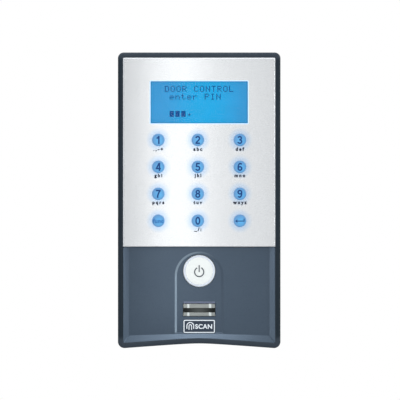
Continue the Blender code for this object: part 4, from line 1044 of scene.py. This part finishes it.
def make_display_text():
    """The text as dark crystal dots, five by seven to a character, just in front of the glass."""
    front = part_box("display_glass")[0].y
    for number, (text, left, top) in enumerate(DISPLAY_ROWS, 1):
        bm = bmesh.new()
        for place, character in enumerate(text):
            for row, bits in enumerate(DOT_CHARACTERS[character]):
                for column in range(5):
                    if bits >> (4 - column) & 1:
                        x = left * MM + place * CHARACTER_PITCH + column * DOT_PITCH
                        z = top * MM - row * DOT_PITCH
                        right, foot = x + DOT_SIZE, z - DOT_SIZE
                        dot = [(x, z), (x, foot), (right, foot), (right, z)]
                        slab(bm, dot, front - 2 * SKIN, front - 0.5 * SKIN)
        add_piece(f"display_row_{number}", bm, TERMINAL, "crystal_dark")


def make_sensor():
    """Rails with a raised contact rib near each end, and the sensing strip between them."""
    for node in ("sensor_rail_upper", "sensor_rail_lower"):
        low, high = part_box(node)
        steps = 160
        front = []
        for i in range(steps + 1):
            x = low.x + (high.x - low.x) * i / steps
            rib = math.exp(-(((abs(x) - SENSOR_BAND_X) / (0.75 * MM)) ** 2))
            front.append((x, low.y + (0.18 - 0.16 * rib) * MM))
        outline = front + [(high.x, high.y), (low.x, high.y)]
        bm = bmesh.new()
        bottom, top = ([bm.verts.new((x, y, z)) for x, y in outline] for z in (low.z, high.z))
        bm.faces.new(bottom)
        bm.faces.new(top)
        bridge(bm, bottom, top)
        soften_edges(add_piece(node + "_bar", bm, TERMINAL, "sensor_metal", (node,)), 0.22 * MM, 4)
    low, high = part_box("sensor_strip")
    upper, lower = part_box("sensor_rail_upper"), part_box("sensor_rail_lower")
    z = (lower[1].z + HAIRLINE, upper[0].z - HAIRLINE)
    bm = bmesh.new()
    slab(bm, [(low.x, z[0]), (high.x, z[0]), (high.x, z[1]), (low.x, z[1])], low.y, high.y)
    strip = add_piece("sensor_strip_bar", bm, TERMINAL, "sensor_black", ("sensor_strip",))
    soften_edges(strip, 0.15 * MM, 3)


def make_badge():
    """Dark enamel plate with a pale border, a plain fingertip sign and the word SCAN."""
    low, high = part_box("badge_plate")
    radius, border = 0.8 * MM, 0.55 * MM
    x, _, z = (low + high) / 2
    outer = rounded_rectangle(low, high, 0.0, radius, steps=6)
    inner = rounded_rectangle(low, high, border, radius - border, steps=6)
    bm = bmesh.new()
    slab(bm, outer, low.y, high.y)
    plate = add_piece("badge_field", bm, TERMINAL, "badge_enamel", ("badge_plate",))
    soften_edges(plate, 0.08 * MM)
    bm = bmesh.new()
    front, back = low.y - SKIN * 3, low.y + SKIN
    ring_loft(bm, [(outer, back), (outer, front), (inner, front), (inner, back)])
    add_piece("badge_border", bm, TERMINAL, "badge_white")
    bm = bmesh.new()
    sign_x = x - 5.2 * MM
    for r, leg in ((0.75, -2.0), (2.0, -1.4)):
        line = [(sign_x + r * MM, z + leg * MM)] + arc((sign_x, z + 0.3 * MM), r * MM, 0, 180, 24)
        line.append((sign_x - r * MM, z + leg * MM))
        stroke(bm, line, 0.5 * MM, front, back)
    add_piece("badge_sign", bm, TERMINAL, "badge_white")
    lettering(
        "badge_word", "SCAN", 2.7 * MM, (x + 2.6 * MM, z), low.y, "badge_white", TERMINAL,
        bold=0.11 * MM, spacing=1.08,
    )


def make_plate_edges():
    """A painted highlight along the plate's top and sides, as a near-white trim that glows a little, and a
    painted glow on the pale edge round the window.
    """
    low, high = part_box("keypad_fascia")
    x, top = INSIDE.x - HAIRLINE, INSIDE.z - HAIRLINE
    side, thick = 0.18 * MM, 0.62 * MM
    outline = arc((x - SMALLEST_CORNER, top - SMALLEST_CORNER), SMALLEST_CORNER, 0, 90, 6)
    outline += arc((SMALLEST_CORNER - x, top - SMALLEST_CORNER), SMALLEST_CORNER, 90, 180, 6)
    inner_x, inner_top = x - side, top - thick
    outline += [(-x, low.z), (-inner_x, low.z), (-inner_x, inner_top)]
    outline += [(inner_x, inner_top), (inner_x, low.z), (x, low.z)]
    bm = bmesh.new()
    # Painted highlight: a near-white trim along the plate's top and sides.
    slab(bm, outline, low.y - 0.03 * MM, low.y + 0.7 * MM)
    soften_edges(add_piece("plate_edge", bm, TERMINAL, "painted_edge_highlight"), 0.12 * MM, 3)
    # Painted glow: a pale ring round the window, lit as if by the display.
    hidden, ring = 1.25 * MM, 0.5 * MM
    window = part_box("display_window")
    inner = rounded_rectangle(*window, hidden, 0.3 * MM, steps=4)
    outer = rounded_rectangle(*window, hidden - ring, 0.9 * MM, steps=4)
    front = low.y - 2 * SKIN
    bm = bmesh.new()
    ring_loft(bm, [(outer, low.y), (outer, front), (inner, front), (inner, low.y + 0.3 * MM)])
    add_piece("window_edge", bm, TERMINAL, "edge_glow")


def make_door_details():
    """Grip ribs, an arrow and the cell size moulded on the battery door's outer face."""
    low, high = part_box("battery_door")
    face = high.y
    bm = bmesh.new()
    for i in range(6):
        z = low.z + (7.0 + 1.5 * i) * MM
        half = (7.0 - 0.4 * i) * MM
        stroke(bm, [(-half, z), (half, z)], 0.7 * MM, face - 0.1 * MM, face + 0.35 * MM)
    soften_edges(add_piece("door_grip", bm, "battery_lid", "slate_rear"), 0.2 * MM, 3)
    bm = bmesh.new()
    half, tip, base = 2.2 * MM, low.z + 18.1 * MM, low.z + 20.9 * MM
    slab(bm, [(0.0, tip), (half, base), (-half, base)], face - 0.1 * MM, face + 0.25 * MM)
    add_piece("door_arrow", bm, "battery_lid", "slate_rear")
    lettering(
        "door_cells", "2 x AA", 3.2 * MM, (0.0, (low.z + high.z) / 2 + 4 * MM), face, "slate_rear",
        "battery_lid", bold=0.14 * MM, facing=-1,
    )


def paint_cad_nodes():
    """Gives each CAD node the full material that its plain one is named after."""
    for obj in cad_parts.values():
        name = obj.data.materials[0].name.split(".")[0]
        obj.data.materials[0] = MATERIALS[name]


# ---- studio ----

def make_world():
    """White behind the object, and a soft cool light all round it."""
    world = bpy.data.worlds.new("studio")
    scene.world = world
    world.use_nodes = True
    tree = world.node_tree
    tree.nodes.clear()
    path, choose, seen, lit, out = (
        tree.nodes.new("ShaderNode" + kind)
        for kind in ("LightPath", "MixShader", "Background", "Background", "OutputWorld")
    )
    seen.inputs["Color"].default_value = (1.0, 1.0, 1.0, 1.0)
    lit.inputs["Color"].default_value = (0.96, 0.98, 1.0, 1.0)
    lit.inputs["Strength"].default_value = 0.53
    tree.links.new(path.outputs["Is Camera Ray"], choose.inputs[0])
    tree.links.new(lit.outputs[0], choose.inputs[1])
    tree.links.new(seen.outputs[0], choose.inputs[2])
    tree.links.new(choose.outputs[0], out.inputs["Surface"])


def make_floor():
    """A plain pale floor that glows a little, so that no light leaves a pool on it."""
    bm = bmesh.new()
    bmesh.ops.create_grid(bm, x_segments=1, y_segments=1, size=4.0)
    mesh = bpy.data.meshes.new("studio_floor")
    bm.to_mesh(mesh)
    bm.free()
    floor = bpy.data.objects.new("studio_floor", mesh)
    floor.location.z = cad_box[0].z - 0.2 * MM
    g = Graph("floor_pale")
    colour = g.mix(g.noise(300 * MM), (0.200, 0.203, 0.207), (0.220, 0.223, 0.227))
    settings = {"Base_Color": colour, "Roughness": 0.9, "Specular_IOR_Level": 0.1}
    mesh.materials.append(g.finish(Emission_Color=colour, Emission_Strength=3.15, **settings))
    scene.collection.objects.link(floor)


def make_lights():
    """Area lights that the camera doesn't see, brightness given per area of each."""
    low = cad_box[0]
    near = low.y - 0.115
    foot, head = low.z + 0.015, 0.3
    level, tall = (head + foot) / 2, head - foot
    target = (0.0, -0.03, 0.0)
    # Each light: its name, place, what it looks at, its width and height, and its brightness.
    lights = (
        ("front_strip", (-0.014, near, level), (-0.014, 0.0, level), (0.03, tall), 1.02),
        ("front_wide", (0.020, near, level), (0.020, 0.0, level), (0.05, tall), 0.28),
        ("overhead", (-0.10, -0.13, 0.7), (0.0, -0.02, 0.0), (0.6, 0.5), 2.25),
        ("overhead_narrow", (-0.03, -0.05, 0.69), (-0.03, -0.02, 0.0), (0.16, 0.3), 3.4),
        ("right_front", (1.8, -1.11, 0.8), target, (0.54, 1.6), 7.1),
        ("left_side", (-2.1, -0.39, 0.8), target, (0.9, 1.6), 4.1),
    )
    for name, place, towards, size, brightness in lights:
        data = bpy.data.lights.new(name, "AREA")
        data.shape = "RECTANGLE"
        data.size, data.size_y = size
        data.energy = brightness * math.pi * size[0] * size[1]
        obj = bpy.data.objects.new(name, data)
        obj.location = place
        obj.rotation_euler = (Vector(towards) - Vector(place)).to_track_quat("-Z", "Y").to_euler()
        obj.visible_camera = False
        scene.collection.objects.link(obj)


def make_camera():
    """Straight on and without perspective, as the photograph is drawn."""
    camera = bpy.data.cameras.new("camera")
    camera.type = "ORTHO"
    camera.ortho_scale = 0.2338
    camera.clip_start, camera.clip_end = 0.01, 10.0
    obj = bpy.data.objects.new("camera", camera)
    obj.location = (0.47 * MM, -0.7, 0.18 * MM)
    obj.rotation_euler = (math.radians(90), 0.0, 0.0)
    scene.collection.objects.link(obj)
    scene.camera = obj
    scene.view_settings.view_transform = "Standard"


paint_cad_nodes()
make_frame()
refined("keypad_fascia", "satin_silver", 0.12 * MM, reshape=close_to_keys)
refined("scanner_panel", "slate_panel", 0.12 * MM, reshape=out_to_frame)
refined("display_window", "clear_window", 0.1 * MM)
refined("rear_housing", "slate_rear", 0.2 * MM)
refined("battery_door", "slate_rear", 0.0, body="battery_lid", flat_deg=0.0)
make_plate_edges()
make_keys()
make_mat()
make_button()
make_display_text()
make_sensor()
make_badge()
make_door_details()
make_world()
make_floor()
make_lights()
make_camera()
